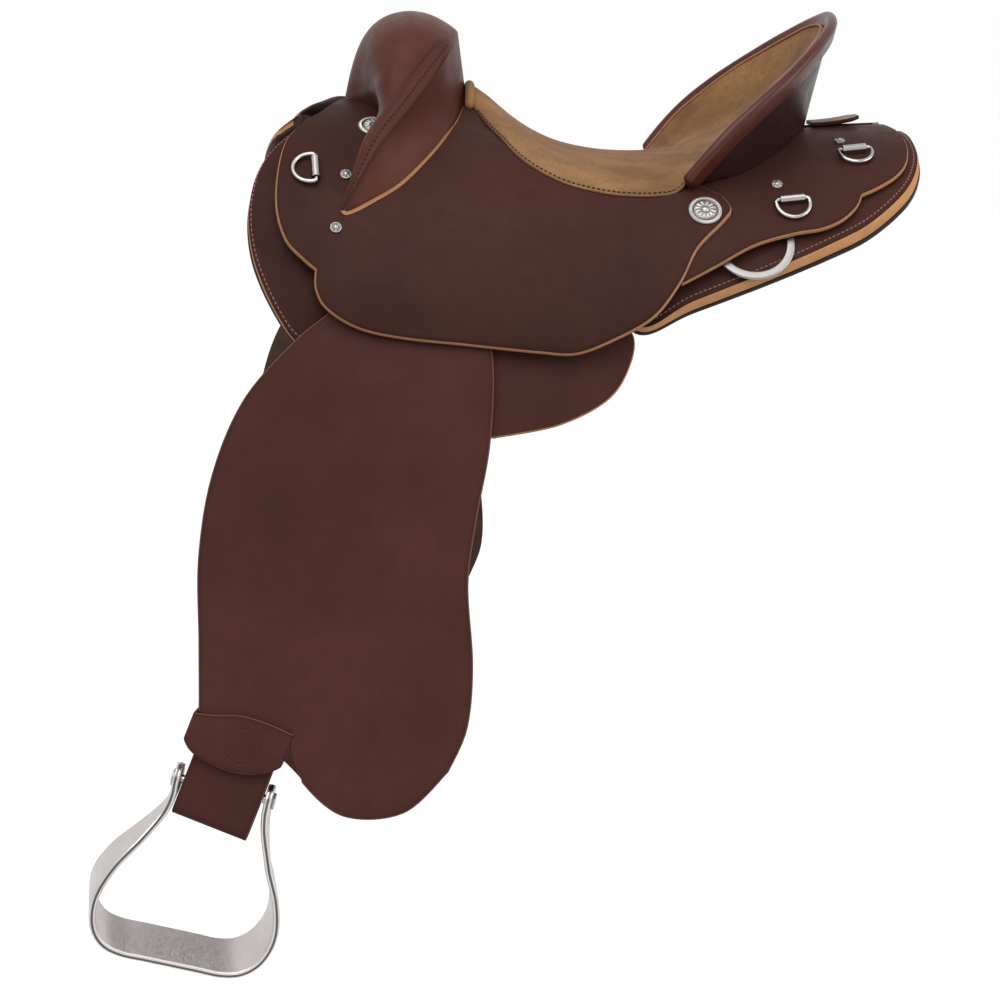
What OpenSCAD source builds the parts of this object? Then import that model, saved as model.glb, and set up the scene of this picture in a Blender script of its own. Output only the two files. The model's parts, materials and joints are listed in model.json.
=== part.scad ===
// Stock saddle with swinging fenders, built on a wooden tree.
// X runs forward, Y to the rider's left and Z up. The origin lies on the centre plane at mid seat,
// on the line of the horse's back that the saddle is held by.

/* [Tree and seat] */
// Seat size, from the back of the fork to the top of the cantle
seat_size = 381; // [350:1:410]
// Half width of the leather's side curve at mid seat
side_half_w = 238; // [230:1:246]
// Drop of the side curve from its crown to its widest line at mid seat
side_drop = 300; // [290:1:310]
// Height of the side curve's crown above the origin at mid seat
crown_z = 116; // [112:1:120]
// Height of the fork's top above the origin
fork_top = 221; // [212:1:230]
// Height of the cantle's top above the origin
cantle_top = 214; // [204:1:224]
// Diameter of the rolled binding on the cantle's rim
binding_d = 17; // [14:0.5:19]
// Thickness of the band sewn on the rim of each thigh roll
welt_t = 2.5; // [1.5:0.25:3]
// Thickness of the tree bars at mid seat
bar_t = 15; // [12:0.5:16]
// Thickness of the seat foam at its middle
foam_t = 12; // [8:0.5:13]

/* [Leather] */
// Thickness of the seat jockeys
jockey_t = 4; // [3:0.25:4.5]
// Thickness of the rear jockeys
rear_jockey_t = 4; // [3:0.25:5]
// Thickness of the skirts
skirt_t = 10; // [7:0.5:11]
// Reach of the slanted raw edge of the skirts behind the seat
skirt_slant = 9; // [6:0.5:11]
// Thickness of the fleece lining under the skirts
lining_t = 10; // [6:0.5:14]
// Thickness of the sweat flaps
flap_t = 3; // [2:0.25:3.5]
// Thickness of the fenders
fender_t = 3.5; // [2.5:0.25:4]
// Thickness of the stirrup leathers
strap_t = 3.5; // [2.5:0.25:4]
// Width of the stirrup leathers
strap_w = 73; // [68:1:74]
// Thickness of the leather on the fork and the cantle
cover_t = 3; // [2:0.25:3.5]
// Thickness of the suede on the seat
suede_t = 2.5; // [1.5:0.25:3]
// Gap left between two leathers that lie on each other
layer_gap = 0.4; // [0.3:0.05:0.6]

/* [Fenders] */
// Distance of the hanger stud ahead of the origin
hang_x = 125; // [115:1:135]
// Height of the hanger stud above the origin
hang_z = 28; // [24:1:30]
// Diameter of the hanger stud
stud_d = 12; // [10:0.5:14]
// Lean of the fender's upper part from upright
side_lean = 22.3; // [21:0.1:23]
// Angle by which the left fender rests forward of straight down
rest_left = 23; // [15:1:27]
// Angle by which the right fender rests forward of straight down
rest_right = 17; // [5:1:27]
// Distance from the stud at which the fender starts to bend towards upright
flare_start = 110; // [105:1:120]
// Angle that the fender bends through
flare_angle = 12; // [9:0.5:14]
// Distance from the stud down to the stirrup bolt
strap_l = 546; // [530:1:570]

/* [Stirrups] */
// Outer width of the stirrup
stirrup_w = 178; // [168:1:190]
// Height from the bolt to the bottom of the tread
stirrup_h = 170; // [160:1:185]
// Width of the tread from front to back
tread_w = 66; // [56:1:76]
// Thickness of the stirrup's band
band_t = 6.5; // [5:0.25:8]
// Width of the stirrup's eyes
eye_w = 30; // [26:1:34]
// Outer distance over the stirrup's eyes
neck_w = 94; // [94:0.5:100]
// Diameter of the stirrup bolt
bolt_d = 9; // [7:0.5:10]
// Diameter of the roller on the bolt
roller_d = 14; // [13:0.5:16]
// Height of the bolt above the bottom fold of the leather
bolt_rise = 38; // [34:1:42]
// Turn of the bolt against the fold of the leather
bolt_skew = 8; // [0:1:8]

/* [Dees and fittings] */
// Radius of the small dee's bow, at the middle of its wire
dee_r = 16; // [14:0.5:18]
// Diameter of the small dee's wire
dee_wire = 4; // [3:0.25:4.5]
// Outer diameter of the clip that holds a small dee
clip_d = 8; // [7:0.25:9]
// Length of the clip
clip_l = 23; // [20:0.5:24]
// Radius of the rigging dee's bow, at the middle of its bar
rig_r = 35; // [32:0.5:38]
// Width of the rigging dee's bow
rig_bar_w = 9; // [7:0.5:10]
// Thickness of the rigging dee
rig_bar_t = 4; // [3:0.25:4.5]
// Diameter of the conchos
concho_d = 32; // [26:1:36]
// Diameter of the screw heads
screw_d = 12.5; // [10:0.5:14]
// Radial running clearance between a pin and its hole
run_gap = 0.05; // [0.03:0.01:0.08]

/* [Hidden] */
$fn = 48;

leather_dark = [0.24, 0.13, 0.12];
leather_red = [0.33, 0.19, 0.17];
suede = [0.50, 0.35, 0.20];
steel = [0.72, 0.70, 0.69];
wood = [0.72, 0.56, 0.38];

// Patterns are drawn for this seat size and graded lengthwise to the one that is set
drawn_seat = 381;
drawn_cantle = 214;
drawn_fork = 221;
grade = seat_size / drawn_seat;
// They are widened with the side curve
drawn_half_w = 238;
girth = side_half_w / drawn_half_w;

// Smooth curves

function lerp(a, b, t) = a + (b - a) * t;
function clamped(t) = max(0, min(1, t));
function ease(t) = let (c = clamped(t)) c * c * (3 - 2 * c);

function station_slope(p, k) =
    let (a = p[max(k - 1, 0)], b = p[min(k + 1, len(p) - 1)])
    (b[1] - a[1]) / (b[0] - a[0]);

// Value at x of a smooth curve through stations [x, value], given in rising x
function station(p, x) =
    let (k = max([for (i = [0 : len(p) - 2]) if (i == 0 || x >= p[i][0]) i]),
         h = p[k + 1][0] - p[k][0],
         t = clamped((x - p[k][0]) / h))
    (2 * t ^ 3 - 3 * t ^ 2 + 1) * p[k][1] + (t ^ 3 - 2 * t ^ 2 + t) * h * station_slope(p, k)
    + (3 * t ^ 2 - 2 * t ^ 3) * p[k + 1][1] + (t ^ 3 - t ^ 2) * h * station_slope(p, k + 1);

// Point at t, from 0 to 1, of a smooth curve through the points p
function curve_at(p, t) =
    let (n = len(p) - 1,
         s = clamped(t) * n,
         k = min(floor(s), n - 1),
         f = s - k,
         a = p[max(k - 1, 0)],
         b = p[k],
         c = p[k + 1],
         d = p[min(k + 2, n)])
    0.5 * (2 * b + (c - a) * f + (2 * a - 5 * b + 4 * c - d) * f ^ 2 + (3 * b - a - 3 * c + d) * f ^ 3);

function traced(p, n) = [for (i = [0 : n]) curve_at(p, i / n)];
// A half curve with its mirror image on the other side of the centre plane
function turned(p) = [for (k = [0 : len(p) - 1]) k == 1 ? -p[k] : p[k]];
function both(h) = concat([for (i = [len(h) - 1 : -1 : 1]) turned(h[i])], h);
function over(h, s) = curve_at(both(h), (s + 1) / 2);
function joined(a, b) = concat(a, [for (i = [1 : len(b) - 1]) b[i]]);

// Rows of points between two traced edges, m steps across
function strip(a, b, m) = [for (i = [0 : len(a) - 1]) [for (j = [0 : m]) lerp(a[i], b[i], j / m)]];

function unit(v) = v / max(norm(v), 0.001);
function grid_normal(g, i, j) =
    let (n = len(g) - 1, m = len(g[0]) - 1)
    unit(cross(g[min(i + 1, n)][j] - g[max(i - 1, 0)][j], g[i][min(j + 1, m)] - g[i][max(j - 1, 0)]));

// Solid between two grids of points of the same size
module slab(top, under) {
    n = len(top) - 1;
    m = len(top[0]) - 1;
    w = m + 1;
    lower = (n + 1) * w;
    i0 = floor(n / 2);
    j0 = floor(m / 2);
    heart = top[i0][j0];
    out = cross(top[i0 + 1][j0] - heart, top[i0][j0 + 1] - heart) * (heart - under[i0][j0]);
    skins = [for (i = [0 : n - 1], j = [0 : m - 1])
        let (a = i * w + j, b = a + 1, d = a + w, c = d + 1)
        each [[a, b, c], [a, c, d],
            [a + lower, c + lower, b + lower], [a + lower, d + lower, c + lower]]];
    long_walls = [for (i = [0 : n - 1])
        let (a = i * w, d = a + w, b = a + m, c = d + m)
        each [[a, d, d + lower], [a, d + lower, a + lower],
            [c, b, b + lower], [c, b + lower, c + lower]]];
    end_walls = [for (j = [0 : m - 1])
        let (a = j, b = a + 1, d = n * w + j, c = d + 1)
        each [[b, a, a + lower], [b, a + lower, b + lower],
            [d, c, c + lower], [d, c + lower, d + lower]]];
    faces = concat(end_walls, long_walls, skins);
    polyhedron(concat([for (r = top) each r], [for (r = under) each r]),
        out > 0 ? faces : [for (f = faces) [f[0], f[2], f[1]]]);
}

// Solid through a row of closed rings with the same number of points
module loft(rings) {
    n = len(rings) - 1;
    w = len(rings[0]);
    function middle(r) = [for (k = [0 : 2]) [for (p = r) p[k]] * [for (p = r) 1] / w];
    middles = [middle(rings[0]), middle(rings[n])];
    i0 = floor(n / 2);
    heart = middle(rings[i0]);
    out = cross(rings[i0 + 1][0] - rings[i0][0], rings[i0][1] - rings[i0][0]) * (rings[i0][0] - heart);
    skin = [for (i = [0 : n - 1], j = [0 : w - 1])
        let (a = i * w + j, b = i * w + (j + 1) % w, d = a + w, c = b + w)
        each [[a, b, c], [a, c, d]]];
    first = (n + 1) * w;
    caps = [for (j = [0 : w - 1])
        let (k = (j + 1) % w)
        each [[k, j, first], [n * w + j, n * w + k, first + 1]]];
    faces = concat(skin, caps);
    polyhedron(concat([for (r = rings) each r], middles),
        out > 0 ? faces : [for (f = faces) [f[0], f[2], f[1]]]);
}

// Round tube of diameter d along the points p
module cord_tube(p, d, sides) {
    n = len(p) - 1;
    loft([for (i = [0 : n])
        let (t = unit(p[min(i + 1, n)] - p[max(i - 1, 0)]),
             u = unit(cross(t, [0.3, 0, 1])),
             v = cross(t, u))
        [for (k = [0 : sides - 1]) p[i] + d / 2 * (cos(360 * k / sides) * u + sin(360 * k / sides) * v)]]);
}

module mirrored(s) {
    if (s > 0) children();
    else mirror([0, 1, 0]) children();
}

// Side curve: each cross-section is a part of an ellipse that leans with x.
// A pattern point is [x, a], with a in degrees down from the crown.

crown_change = [[-340, 0], [-150, -4], [0, 0], [125, 16], [320, 34]];
half_change = [[-340, 17], [-150, 10], [0, 0], [125, -8], [320, -16]];
fall_change = [[-340, 30], [-150, 20], [0, 0], [125, -10], [320, -25]];
function side_crown(x) = crown_z + station(crown_change, x / grade);
function side_half(x) = side_half_w + station(half_change, x / grade);
function side_fall(x) = side_drop + station(fall_change, x / grade);
function on_side(p, off) =
    let (x = p[0] * grade)
    [x, (side_half(x) + off) * sin(p[1]),
     side_crown(x) - side_fall(x) + (side_fall(x) + off) * cos(p[1])];
// Half width of the side curve at the height z
function side_y(x, z) =
    let (c = (z - side_crown(x) + side_fall(x)) / side_fall(x))
    side_half(x) * sqrt(1 - c * c);

// Offsets of the layers from the jockey's outer face, counted outwards
rear_off = -jockey_t - layer_gap;
bar_off = rear_off - rear_jockey_t - layer_gap;
bar_depth = [[-340, 2], [-270, 4], [-170, 9], [-90, 13], [0, 15], [180, 15], [230, 13], [265, 8], [320, 3]];
drawn_bar_t = 15;
// Depth of the skirt's outer face, which the tree bars part from the jockeys. Ahead of the bars it
// comes up under the jockey, and low down it stays back, clear of the fender.
front_depth = 1;
front_low_depth = 11;
function skirt_off(p) =
    let (ahead = ease((p[0] - 225) / 45),
         low = ease((p[1] - 40) / 18),
         by_bar = station(bar_depth, p[0]) * bar_t / drawn_bar_t,
         by_front = lerp(front_depth, front_low_depth, low))
    bar_off - layer_gap - lerp(by_bar, by_front, ahead);

// Edges of the leather patterns

jockey_top = joined(
    traced([[213, 3], [195, 7], [176, 13], [169, 21], [178, 32], [200, 42], [219, 48.2]], 12),
    joined(traced([[219, 48.2], [212, 49.2], [190, 45], [157, 38], [126, 27], [108, 16.5], [98, 8]], 14),
        joined([[98, 8], [91, 6.5]],
            traced([[91, 6.5], [75, 14], [47, 26], [17, 31], [-29, 34], [-76, 34], [-104, 31.5],
                [-119, 31]], 16))));
jockey_low = joined(
    traced([[219, 6], [234, 15], [250, 21], [267, 29], [275, 39], [276, 48], [268, 54.5], [253, 58],
        [241, 60]], 12),
    joined(traced([[241, 60], [241, 64], [231, 67.5], [203, 70.3], [161, 71], [101, 70.4], [46, 69.5]], 14),
        joined([[46, 69.5], [36, 69.3]],
            traced([[36, 69.3], [5, 68.5], [-30, 65], [-67, 60], [-93, 53], [-111, 46], [-137, 40],
                [-146, 37], [-140, 34]], 16))));
rear_jockey_top = joined(
    traced([[-96, 40], [-105, 33], [-125, 29.5], [-165, 25], [-205, 17], [-240, 4], [-262, 2.5]], 12),
    traced([[-262, 2.5], [-290, 2.2], [-318, 2]], 9));
rear_jockey_low = joined(
    traced([[-96, 53], [-129, 49], [-166, 44.5], [-204, 42], [-231, 41], [-252, 39], [-267, 36],
        [-274, 33]], 12),
    traced([[-274, 33], [-292, 31], [-311, 28], [-324, 24], [-331, 18], [-331, 10], [-324, 2]], 9));
skirt_top = joined(
    traced([[262, 22], [261, 21], [259, 20], [256, 19], [252, 18.5], [246, 18], [238, 17], [228, 16],
        [212, 15], [185, 16], [100, 22], [20, 27], [-30, 27.5], [-60, 27.5], [-110, 25], [-215, 7]], 30),
    traced([[-215, 7], [-260, 3.5], [-300, 2.5], [-326, 2]], 14));
skirt_low = joined(
    traced([[268, 25], [291, 35], [302, 46], [301, 55], [291, 63], [273, 71], [258, 74.5], [238, 74],
        [215, 66], [185, 53], [100, 48], [20, 49], [-30, 54], [-59, 61], [-110, 55.5], [-195, 48]], 30),
    traced([[-195, 48], [-240, 44], [-278, 40], [-310, 34], [-329, 28], [-339, 20], [-339, 9],
        [-333, 2]], 14));
bar_top = traced([[232, 14], [180, 13], [120, 18], [80, 26], [0, 28.5], [-50, 28.5], [-100, 26], [-150, 18],
    [-215, 9], [-270, 8]], 28);
bar_low = traced([[240, 30], [215, 44], [180, 51], [120, 52], [80, 50], [20, 47], [-50, 43], [-130, 38],
    [-215, 32], [-275, 20]], 28);

jockey_rows = 6;
rear_jockey_rows = 5;
skirt_rows = 5;
lining_inset = 1;
// Pattern shrunk towards its own middle line, for a lining that stays inside its skirt
function inset_strip(a, b, m, by) =
    [for (i = [0 : len(a) - 1])
        let (k = by / max(norm(on_side(a[i], 0) - on_side(b[i], 0)), by * 3))
        [for (j = [0 : m]) lerp(a[i], b[i], lerp(k, 1 - k, j / m))]];
function laid(pattern, off) = [for (r = pattern) [for (p = r) on_side(p, off)]];
function laid_skirt(pattern, off) = [for (r = pattern) [for (p = r) on_side(p, skirt_off(p) + off)]];
// Edge of the skirt's face: behind the seat it stays back from the underside, which leaves a
// slanted raw edge
skirt_face = [for (i = [0 : len(skirt_low) - 1])
    let (p = skirt_low[i],
         reach = skirt_slant * ease((-40 - p[0]) / 70) * ease((p[1] - 3) / 12))
    lerp(p, skirt_top[i], reach / max(norm(on_side(p, 0) - on_side(skirt_top[i], 0)), skirt_slant))];

module seat_jockey(s) {
    cut = strip(jockey_top, jockey_low, jockey_rows);
    color(leather_dark) mirrored(s) slab(laid(cut, 0), laid(cut, -jockey_t));
}
module rear_jockey(s) {
    cut = strip(rear_jockey_top, rear_jockey_low, rear_jockey_rows);
    color(leather_dark) mirrored(s) slab(laid(cut, rear_off), laid(cut, rear_off - rear_jockey_t));
}
module skirt(s) {
    face = strip(skirt_top, skirt_face, skirt_rows);
    under = strip(skirt_top, skirt_low, skirt_rows);
    color(leather_dark) mirrored(s) slab(laid_skirt(face, 0), laid_skirt(under, -skirt_t));
}
module lining(s) {
    cut = inset_strip(skirt_top, skirt_low, skirt_rows, lining_inset);
    top = -skirt_t - layer_gap;
    color([0.30, 0.22, 0.18]) mirrored(s) slab(laid_skirt(cut, top), laid_skirt(cut, top - lining_t));
}

// Hanger frame: its origin is on the fender's outer face at the stud, Y points out along the stud

hang_in = 6;
hang_y = side_y(hang_x, hang_z) - hang_in;
lean = atan(tan(side_lean) * girth);
module at_hanger(s) {
    mirrored(s) translate([hang_x, hang_y, hang_z]) rotate([lean, 0, 0]) children();
}
function rest_angle(s) = s > 0 ? rest_left : rest_right;
module at_leather(s) { at_hanger(s) rotate([0, -rest_angle(s), 0]) children(); }

// The fender is part of a shallow dish of revolution about the stud: flat, then bent towards upright
flare_radius = 500;
flare_run = flare_radius * sin(flare_angle);
function flare(r) =
    let (d = max(0, r - flare_start))
    d < flare_run ? flare_radius - sqrt(flare_radius ^ 2 - d ^ 2)
        : flare_radius * (1 - cos(flare_angle)) + (d - flare_run) * tan(flare_angle);
function on_dish(p, off) = [p[0], off - flare(norm(p)), p[1]];
function dished(pattern, off) = [for (r = pattern) [for (p = r) on_dish(p, off)]];

stitch_gap = 1;
strap_off = -fender_t - stitch_gap;
flap_off = strap_off - strap_t - 0.8;
groove_off = flap_off - flap_t - layer_gap;
fender_rows = 8;

// Outline of the fender about the line of the stirrup leather, which hangs straight down here.
// It is drawn for this length of strap and graded to the one that is set.
drawn_strap_l = 546;
fender_front = joined(traced([[44, -52], [68, -105], [87, -140], [112, -208], [114, -282], [98, -356],
    [70, -426], [46, -486]], 16), traced([[46, -486], [10, -484], [-22, -479], [-38, -471]], 8));
fender_rear = joined(traced([[-42, -48], [-80, -82], [-110, -160], [-125, -231], [-140, -288],
    [-172, -355], [-189, -410], [-188, -454]], 16),
    traced([[-188, -454], [-164, -504], [-115, -527], [-66, -511], [-46, -480], [-39, -469]], 8));
function graded(pattern) = [for (p = pattern) [p[0], p[1] * strap_l / drawn_strap_l]];
module fender(s) {
    cut = strip(graded(fender_front), graded(fender_rear), fender_rows);
    color(leather_red) at_leather(s) slab(dished(cut, 0), dished(cut, -fender_t));
}

// Outline of the sweat flap in the hanger frame, with an ear that goes up over the stud
flap_front = traced([[26, 14], [34, -14], [62, -48], [84, -96], [84, -130], [62, -162], [20, -182],
    [-20, -186]], 14);
flap_rear = traced([[-26, 14], [-36, -14], [-90, -48], [-150, -70], [-175, -92], [-171, -122], [-150, -152],
    [-104, -175], [-44, -186]], 14);
flap_rows = 6;
module sweat_flap(s) {
    cut = strip(flap_front, flap_rear, flap_rows);
    color(leather_red) at_hanger(s) difference() {
        slab(dished(cut, flap_off), dished(cut, flap_off - flap_t));
        rotate([90, 0, 0]) cylinder(d = stud_d + 0.6, h = 60, center = true);
    }
}

// Groove cut in the outer face of the bar, in which the leathers lie
groove_w = 110;
groove_l = 110;
groove_up = 30;
stud_hold = 5;
bar_rows = 5;
tree_gap = 1.4;
// The bar's upper part is hollowed where the seat lies on it
seat_hollow = 9;
function bar_top_off(p) =
    bar_off - layer_gap
        - seat_hollow * ease((37 - p[1]) / 9) * ease((110 - p[0]) / 40) * ease((p[0] + 190) / 50);
module tree_bar(s) {
    cut = strip(bar_top, bar_low, bar_rows);
    color(wood) difference() {
        mirrored(s) slab([for (r = cut) [for (p = r) on_side(p, bar_top_off(p))]],
            [for (r = cut) [for (p = r) on_side(p, skirt_off(p) + tree_gap)]]);
        at_hanger(s) translate([-groove_w / 2, groove_off, groove_up - groove_l])
            cube([groove_w, 60, groove_l]);
        at_hanger(s) translate([0, groove_off + 1, 0]) rotate([90, 0, 0])
            cylinder(d = stud_d + 2 * run_gap, h = 40);
    }
}

stud_head_t = 2.2;
stud_gap = 0.3;
module hanger_stud(s) {
    head = -strap_off - stud_head_t - stud_gap;
    color(steel) at_hanger(s) rotate([90, 0, 0]) {
        translate([0, 0, head]) cylinder(d = stud_d * 2, h = stud_head_t);
        translate([0, 0, head]) cylinder(d = stud_d, h = stud_hold - groove_off - head);
    }
}

// Stirrup leather: one strap from the stud down to the loop and back up behind itself.
// Below the bend it is straight, so its lower part is drawn in a frame of its own:
// Y along the leather's outward normal, Z up along the strap, X along its width.

bend_end = flare_start + flare_run;
loop_in = roller_d / 2 + 0.3;
loop_out = loop_in + strap_t;
bolt_y = -strap_t - loop_in;
bolt_down = (strap_l - bend_end - bolt_y * sin(flare_angle)) / cos(flare_angle);
module at_loop(s) {
    at_leather(s) translate([0, strap_off - flare(bend_end), -bend_end])
        rotate([-flare_angle, 0, 0]) children();
}
module at_bolt(s) {
    at_loop(s) translate([0, bolt_y, -bolt_down]) rotate([0, bolt_skew, 0]) children();
}

strap_top = 20;
strap_taper = 34;
tail_l = 105;
close_l = 52;
// A point of the lower strap, [outwards, down], in the frame of the stud
function below_bend(p) =
    [strap_off - flare(bend_end) + p[0] * cos(flare_angle) - p[1] * sin(flare_angle),
     bend_end + p[1] * cos(flare_angle) + p[0] * sin(flare_angle)];
// Gap between the plies, which closes above the roller
function ply_gap(d) = lerp(layer_gap, 2 * loop_in, ease((d - bolt_down + close_l + 6) / close_l));
module stirrup_leather(s) {
    fold = bolt_down + bolt_rise - loop_out;
    upper = [for (i = [0 : 14]) -strap_top + (bend_end + strap_top) * i / 14];
    tail = [for (i = [0 : 12]) fold - tail_l * i / 12];
    turn = [for (i = [1 : 9]) 18 * i];
    profile = concat(
        [for (z = upper) [strap_off - flare(z), z]],
        [below_bend([0, fold])],
        [for (a = turn) below_bend([bolt_y + loop_out * cos(a), fold + loop_out * sin(a)])],
        [for (d = tail) below_bend([-2 * strap_t - ply_gap(d), d])],
        [for (i = [12 : -1 : 0]) below_bend([-strap_t - ply_gap(tail[i]), tail[i]])],
        [for (i = [8 : -1 : 0])
            below_bend([bolt_y + loop_in * cos(turn[i]), fold + loop_in * sin(turn[i])])],
        [below_bend([-strap_t, fold])],
        [for (i = [14 : -1 : 0]) [strap_off - flare(upper[i]) - strap_t, upper[i]]]);
    color(leather_red) at_leather(s) difference() {
        rotate([90, 0, 90])
            linear_extrude(strap_w, center = true) polygon([for (p = profile) [p[0], -p[1]]]);
        for (k = [0, 1]) mirror([k, 0, 0]) rotate([90, 0, 0]) linear_extrude(60, center = true)
            polygon([[strap_w / 2 + 2, strap_top + 2], [strap_w / 2 + 2, -strap_taper - 2],
                [strap_w / 2, -strap_taper], [strap_top, -2], [strap_top * 0.9, strap_top * 0.45],
                [strap_top * 0.5, strap_top * 0.86], [0, strap_top], [0, strap_top + 2]]);
        rotate([90, 0, 0]) cylinder(d = stud_d + 2 * run_gap, h = 30, center = true);
    }
}

// Keeper: a loose band round the fender's tongue and both plies, cut on a slant and slack at the
// front. Its outline is drawn about the bolt's height, forward to the right.
keeper_t = 2.5;
keeper_h = 90;
keeper_up = 22;
keeper_slack = 12;
keeper_play = 4;
keeper_outline = traced([[54, 60], [32, 66], [8, 75], [-20, 77], [-44, 75], [-47, 60], [-44, 46],
    [-36, 37], [-18, 27], [3, 22.5], [26, 24], [42, 28], [52, 38], [55, 50], [54, 60]], 42);
module keeper(s) {
    front = fender_t + stitch_gap + layer_gap;
    back = 2 * strap_t + ply_gap(bolt_down - keeper_up) + layer_gap;
    inner_w = strap_w + keeper_play + keeper_slack;
    inner_x = -strap_w / 2 - keeper_play;
    color(leather_red) at_loop(s) translate([0, 0, -bolt_down]) intersection() {
        difference() {
            translate([inner_x - keeper_t, -back - keeper_t, 0])
                cube([inner_w + 2 * keeper_t, front + back + 2 * keeper_t, keeper_h]);
            translate([inner_x, -back, -1]) cube([inner_w, front + back, keeper_h + 2]);
        }
        rotate([90, 0, 0]) linear_extrude(keeper_h, center = true) polygon(keeper_outline);
    }
}

// Stirrup: a band bent from eye to eye, wide at the tread and narrow at the eyes

hang_turn = lean - flare_angle;
eye_top = 15;
drawn_stirrup_h = 170;
module at_stirrup(s) { at_bolt(s) rotate([-hang_turn, 0, 0]) children(); }
module stirrup(s) {
    half = stirrup_w / 2 - band_t / 2;
    neck = neck_w / 2 - band_t / 2;
    k = stirrup_h / drawn_stirrup_h;
    side = [[neck, eye_top], [neck, 0], [neck + 0.5, -15 * k], [lerp(neck, half, 0.12), -33 * k],
        [lerp(neck, half, 0.43), -60 * k], [lerp(neck, half, 0.8), -87 * k], [half, -112 * k],
        [half, -132 * k], [half - 7, -150 * k], [half - 20, -162 * k], [half - 38, -stirrup_h + band_t / 2],
        [half - 60, -stirrup_h + band_t / 2], [0, -stirrup_h + band_t / 2]];
    run = traced(side, 40);
    function offset_run(by) = [for (i = [0 : 40])
        let (t = unit(run[min(i + 1, 40)] - run[max(i - 1, 0)])) run[i] + by * [-t[1], t[0]]];
    function whole(h) = concat(h, [for (i = [39 : -1 : 0]) [-h[i][0], h[i][1]]]);
    outer = whole(offset_run(band_t / 2));
    inner = whole(offset_run(-band_t / 2));
    flank = traced([[eye_w / 2, 0], [eye_w / 2 - 1, -16 * k], [eye_w / 2 + 2, -50 * k],
        [tread_w / 2 - 4, -110 * k], [tread_w / 2, -140 * k], [tread_w / 2, -stirrup_h - 2]], 20);
    color(steel) at_stirrup(s) difference() {
        intersection() {
            rotate([90, 0, 0]) linear_extrude(tread_w + 4, center = true)
                polygon(concat(outer, [for (i = [len(inner) - 1 : -1 : 0]) inner[i]]));
            union() {
                rotate([90, 0, 90]) linear_extrude(stirrup_w + 10, center = true)
                    polygon(concat(flank, [for (i = [20 : -1 : 0]) [-flank[i][0], flank[i][1]]]));
                rotate([0, 90, 0]) cylinder(d = eye_w, h = stirrup_w + 10, center = true);
            }
        }
        rotate([0, 90, 0]) cylinder(d = bolt_d + 2 * run_gap, h = stirrup_w + 20, center = true);
    }
}

head_t = 5;
module stirrup_bolt(s) {
    color(steel) at_bolt(s) rotate([0, 90, 0]) {
        cylinder(d = bolt_d, h = neck_w + 2, center = true);
        translate([0, 0, neck_w / 2 + 0.2]) cylinder(d = bolt_d * 1.9, h = head_t);
        translate([0, 0, -neck_w / 2 - head_t - 0.2]) cylinder(d = bolt_d * 1.8, h = head_t, $fn = 6);
    }
}
module stirrup_roller(s) {
    color(steel) at_bolt(s) rotate([0, 90, 0]) difference() {
        cylinder(d = roller_d, h = strap_w - 4, center = true);
        cylinder(d = bolt_d + 2 * run_gap, h = strap_w, center = true);
    }
}

// Fork: sections from the front foot over the top to the rim of the thigh roll, across the rim's flat
// from its ridge to its brink, and down the hollow rear face

fork_front = [[214, 0], [196, 6.5], [178, 12.5], [171, 21], [181, 32.5], [214, 46.8]];
fork_back = [[93, 0], [101, 8], [112, 17], [130, 27.5], [164, 38.5], [212, 47.9]];
fork_rise = [[196, 0, 235], [200, 40, 205], [190, 72, 165], [184, 96, 130], [192, 129, 97],
    [216, 165, 54]];
fork_roll = [[150, 0, 240], [162, 56, 224], [172, 92, 188], [179, 110, 144], [195, 137, 109],
    [218, 166, 58]];
fork_ridge = [[103, 0, 200], [123, 60, 195], [145, 88, 171], [166, 114, 148], [190, 139, 117],
    [217, 166, 61]];
fork_brink = [[101, 0, 196], [114, 59, 186], [133, 87, 162], [154, 112, 138], [181, 138, 107],
    [215, 165, 57]];
// Move of the rear face's middle that hollows it
fork_hollow = [14, -8, -4];
fork_lift = fork_top - drawn_fork;
function lifted(p) = [p[0] * grade, p[1] * girth, p[2] + fork_lift * ease((p[2] - 120) / 90)];
fork_foot = layer_gap + 0.8;
// Point of the fork's outer face: s runs over the fork, t from the front foot to the rear foot
function on_fork(s, t) =
    let (f = on_side(over(fork_front, s), fork_foot),
         g = on_side(over(fork_back, s), fork_foot),
         p = lifted(over(fork_rise, s)),
         q = lifted(over(fork_roll, s)),
         r = lifted(over(fork_ridge, s)),
         e = lifted(over(fork_brink, s)),
         hollow = lerp(e, g, 0.5) + sin(180 * abs(s)) * (s < 0 ? turned(fork_hollow) : fork_hollow),
         a = clamped(t / ridge_t),
         m = clamped((t - ridge_t) / (brink_t - ridge_t)),
         b = clamped((t - brink_t) / (1 - brink_t)))
    t <= ridge_t ? (1 - a) ^ 3 * f + 3 * (1 - a) ^ 2 * a * p + 3 * (1 - a) * a ^ 2 * q + a ^ 3 * r
        : t <= brink_t ? lerp(r, e, m)
        : (1 - b) ^ 2 * e + 2 * (1 - b) * b * hollow + b ^ 2 * g;
ridge_t = 0.56;
brink_t = 0.66;
fork_steps = 28;
section_steps = [0, 0.08, 0.16, 0.24, 0.32, 0.40, 0.48, ridge_t, brink_t, 0.74, 0.82, 0.91, 1];
function fork_grid(reach) =
    [for (i = [0 : fork_steps]) [for (t = section_steps) on_fork(reach * (2 * i / fork_steps - 1), t)]];
function pushed(g, by) =
    [for (i = [0 : len(g) - 1]) [for (j = [0 : len(g[0]) - 1]) g[i][j] + by * grid_normal(g, i, j)]];
module fork_cover() {
    skin = fork_grid(1);
    color(leather_red) slab(skin, pushed(skin, -cover_t));
}
fork_core_reach = 0.86;
core_gap = 2.6;
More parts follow.
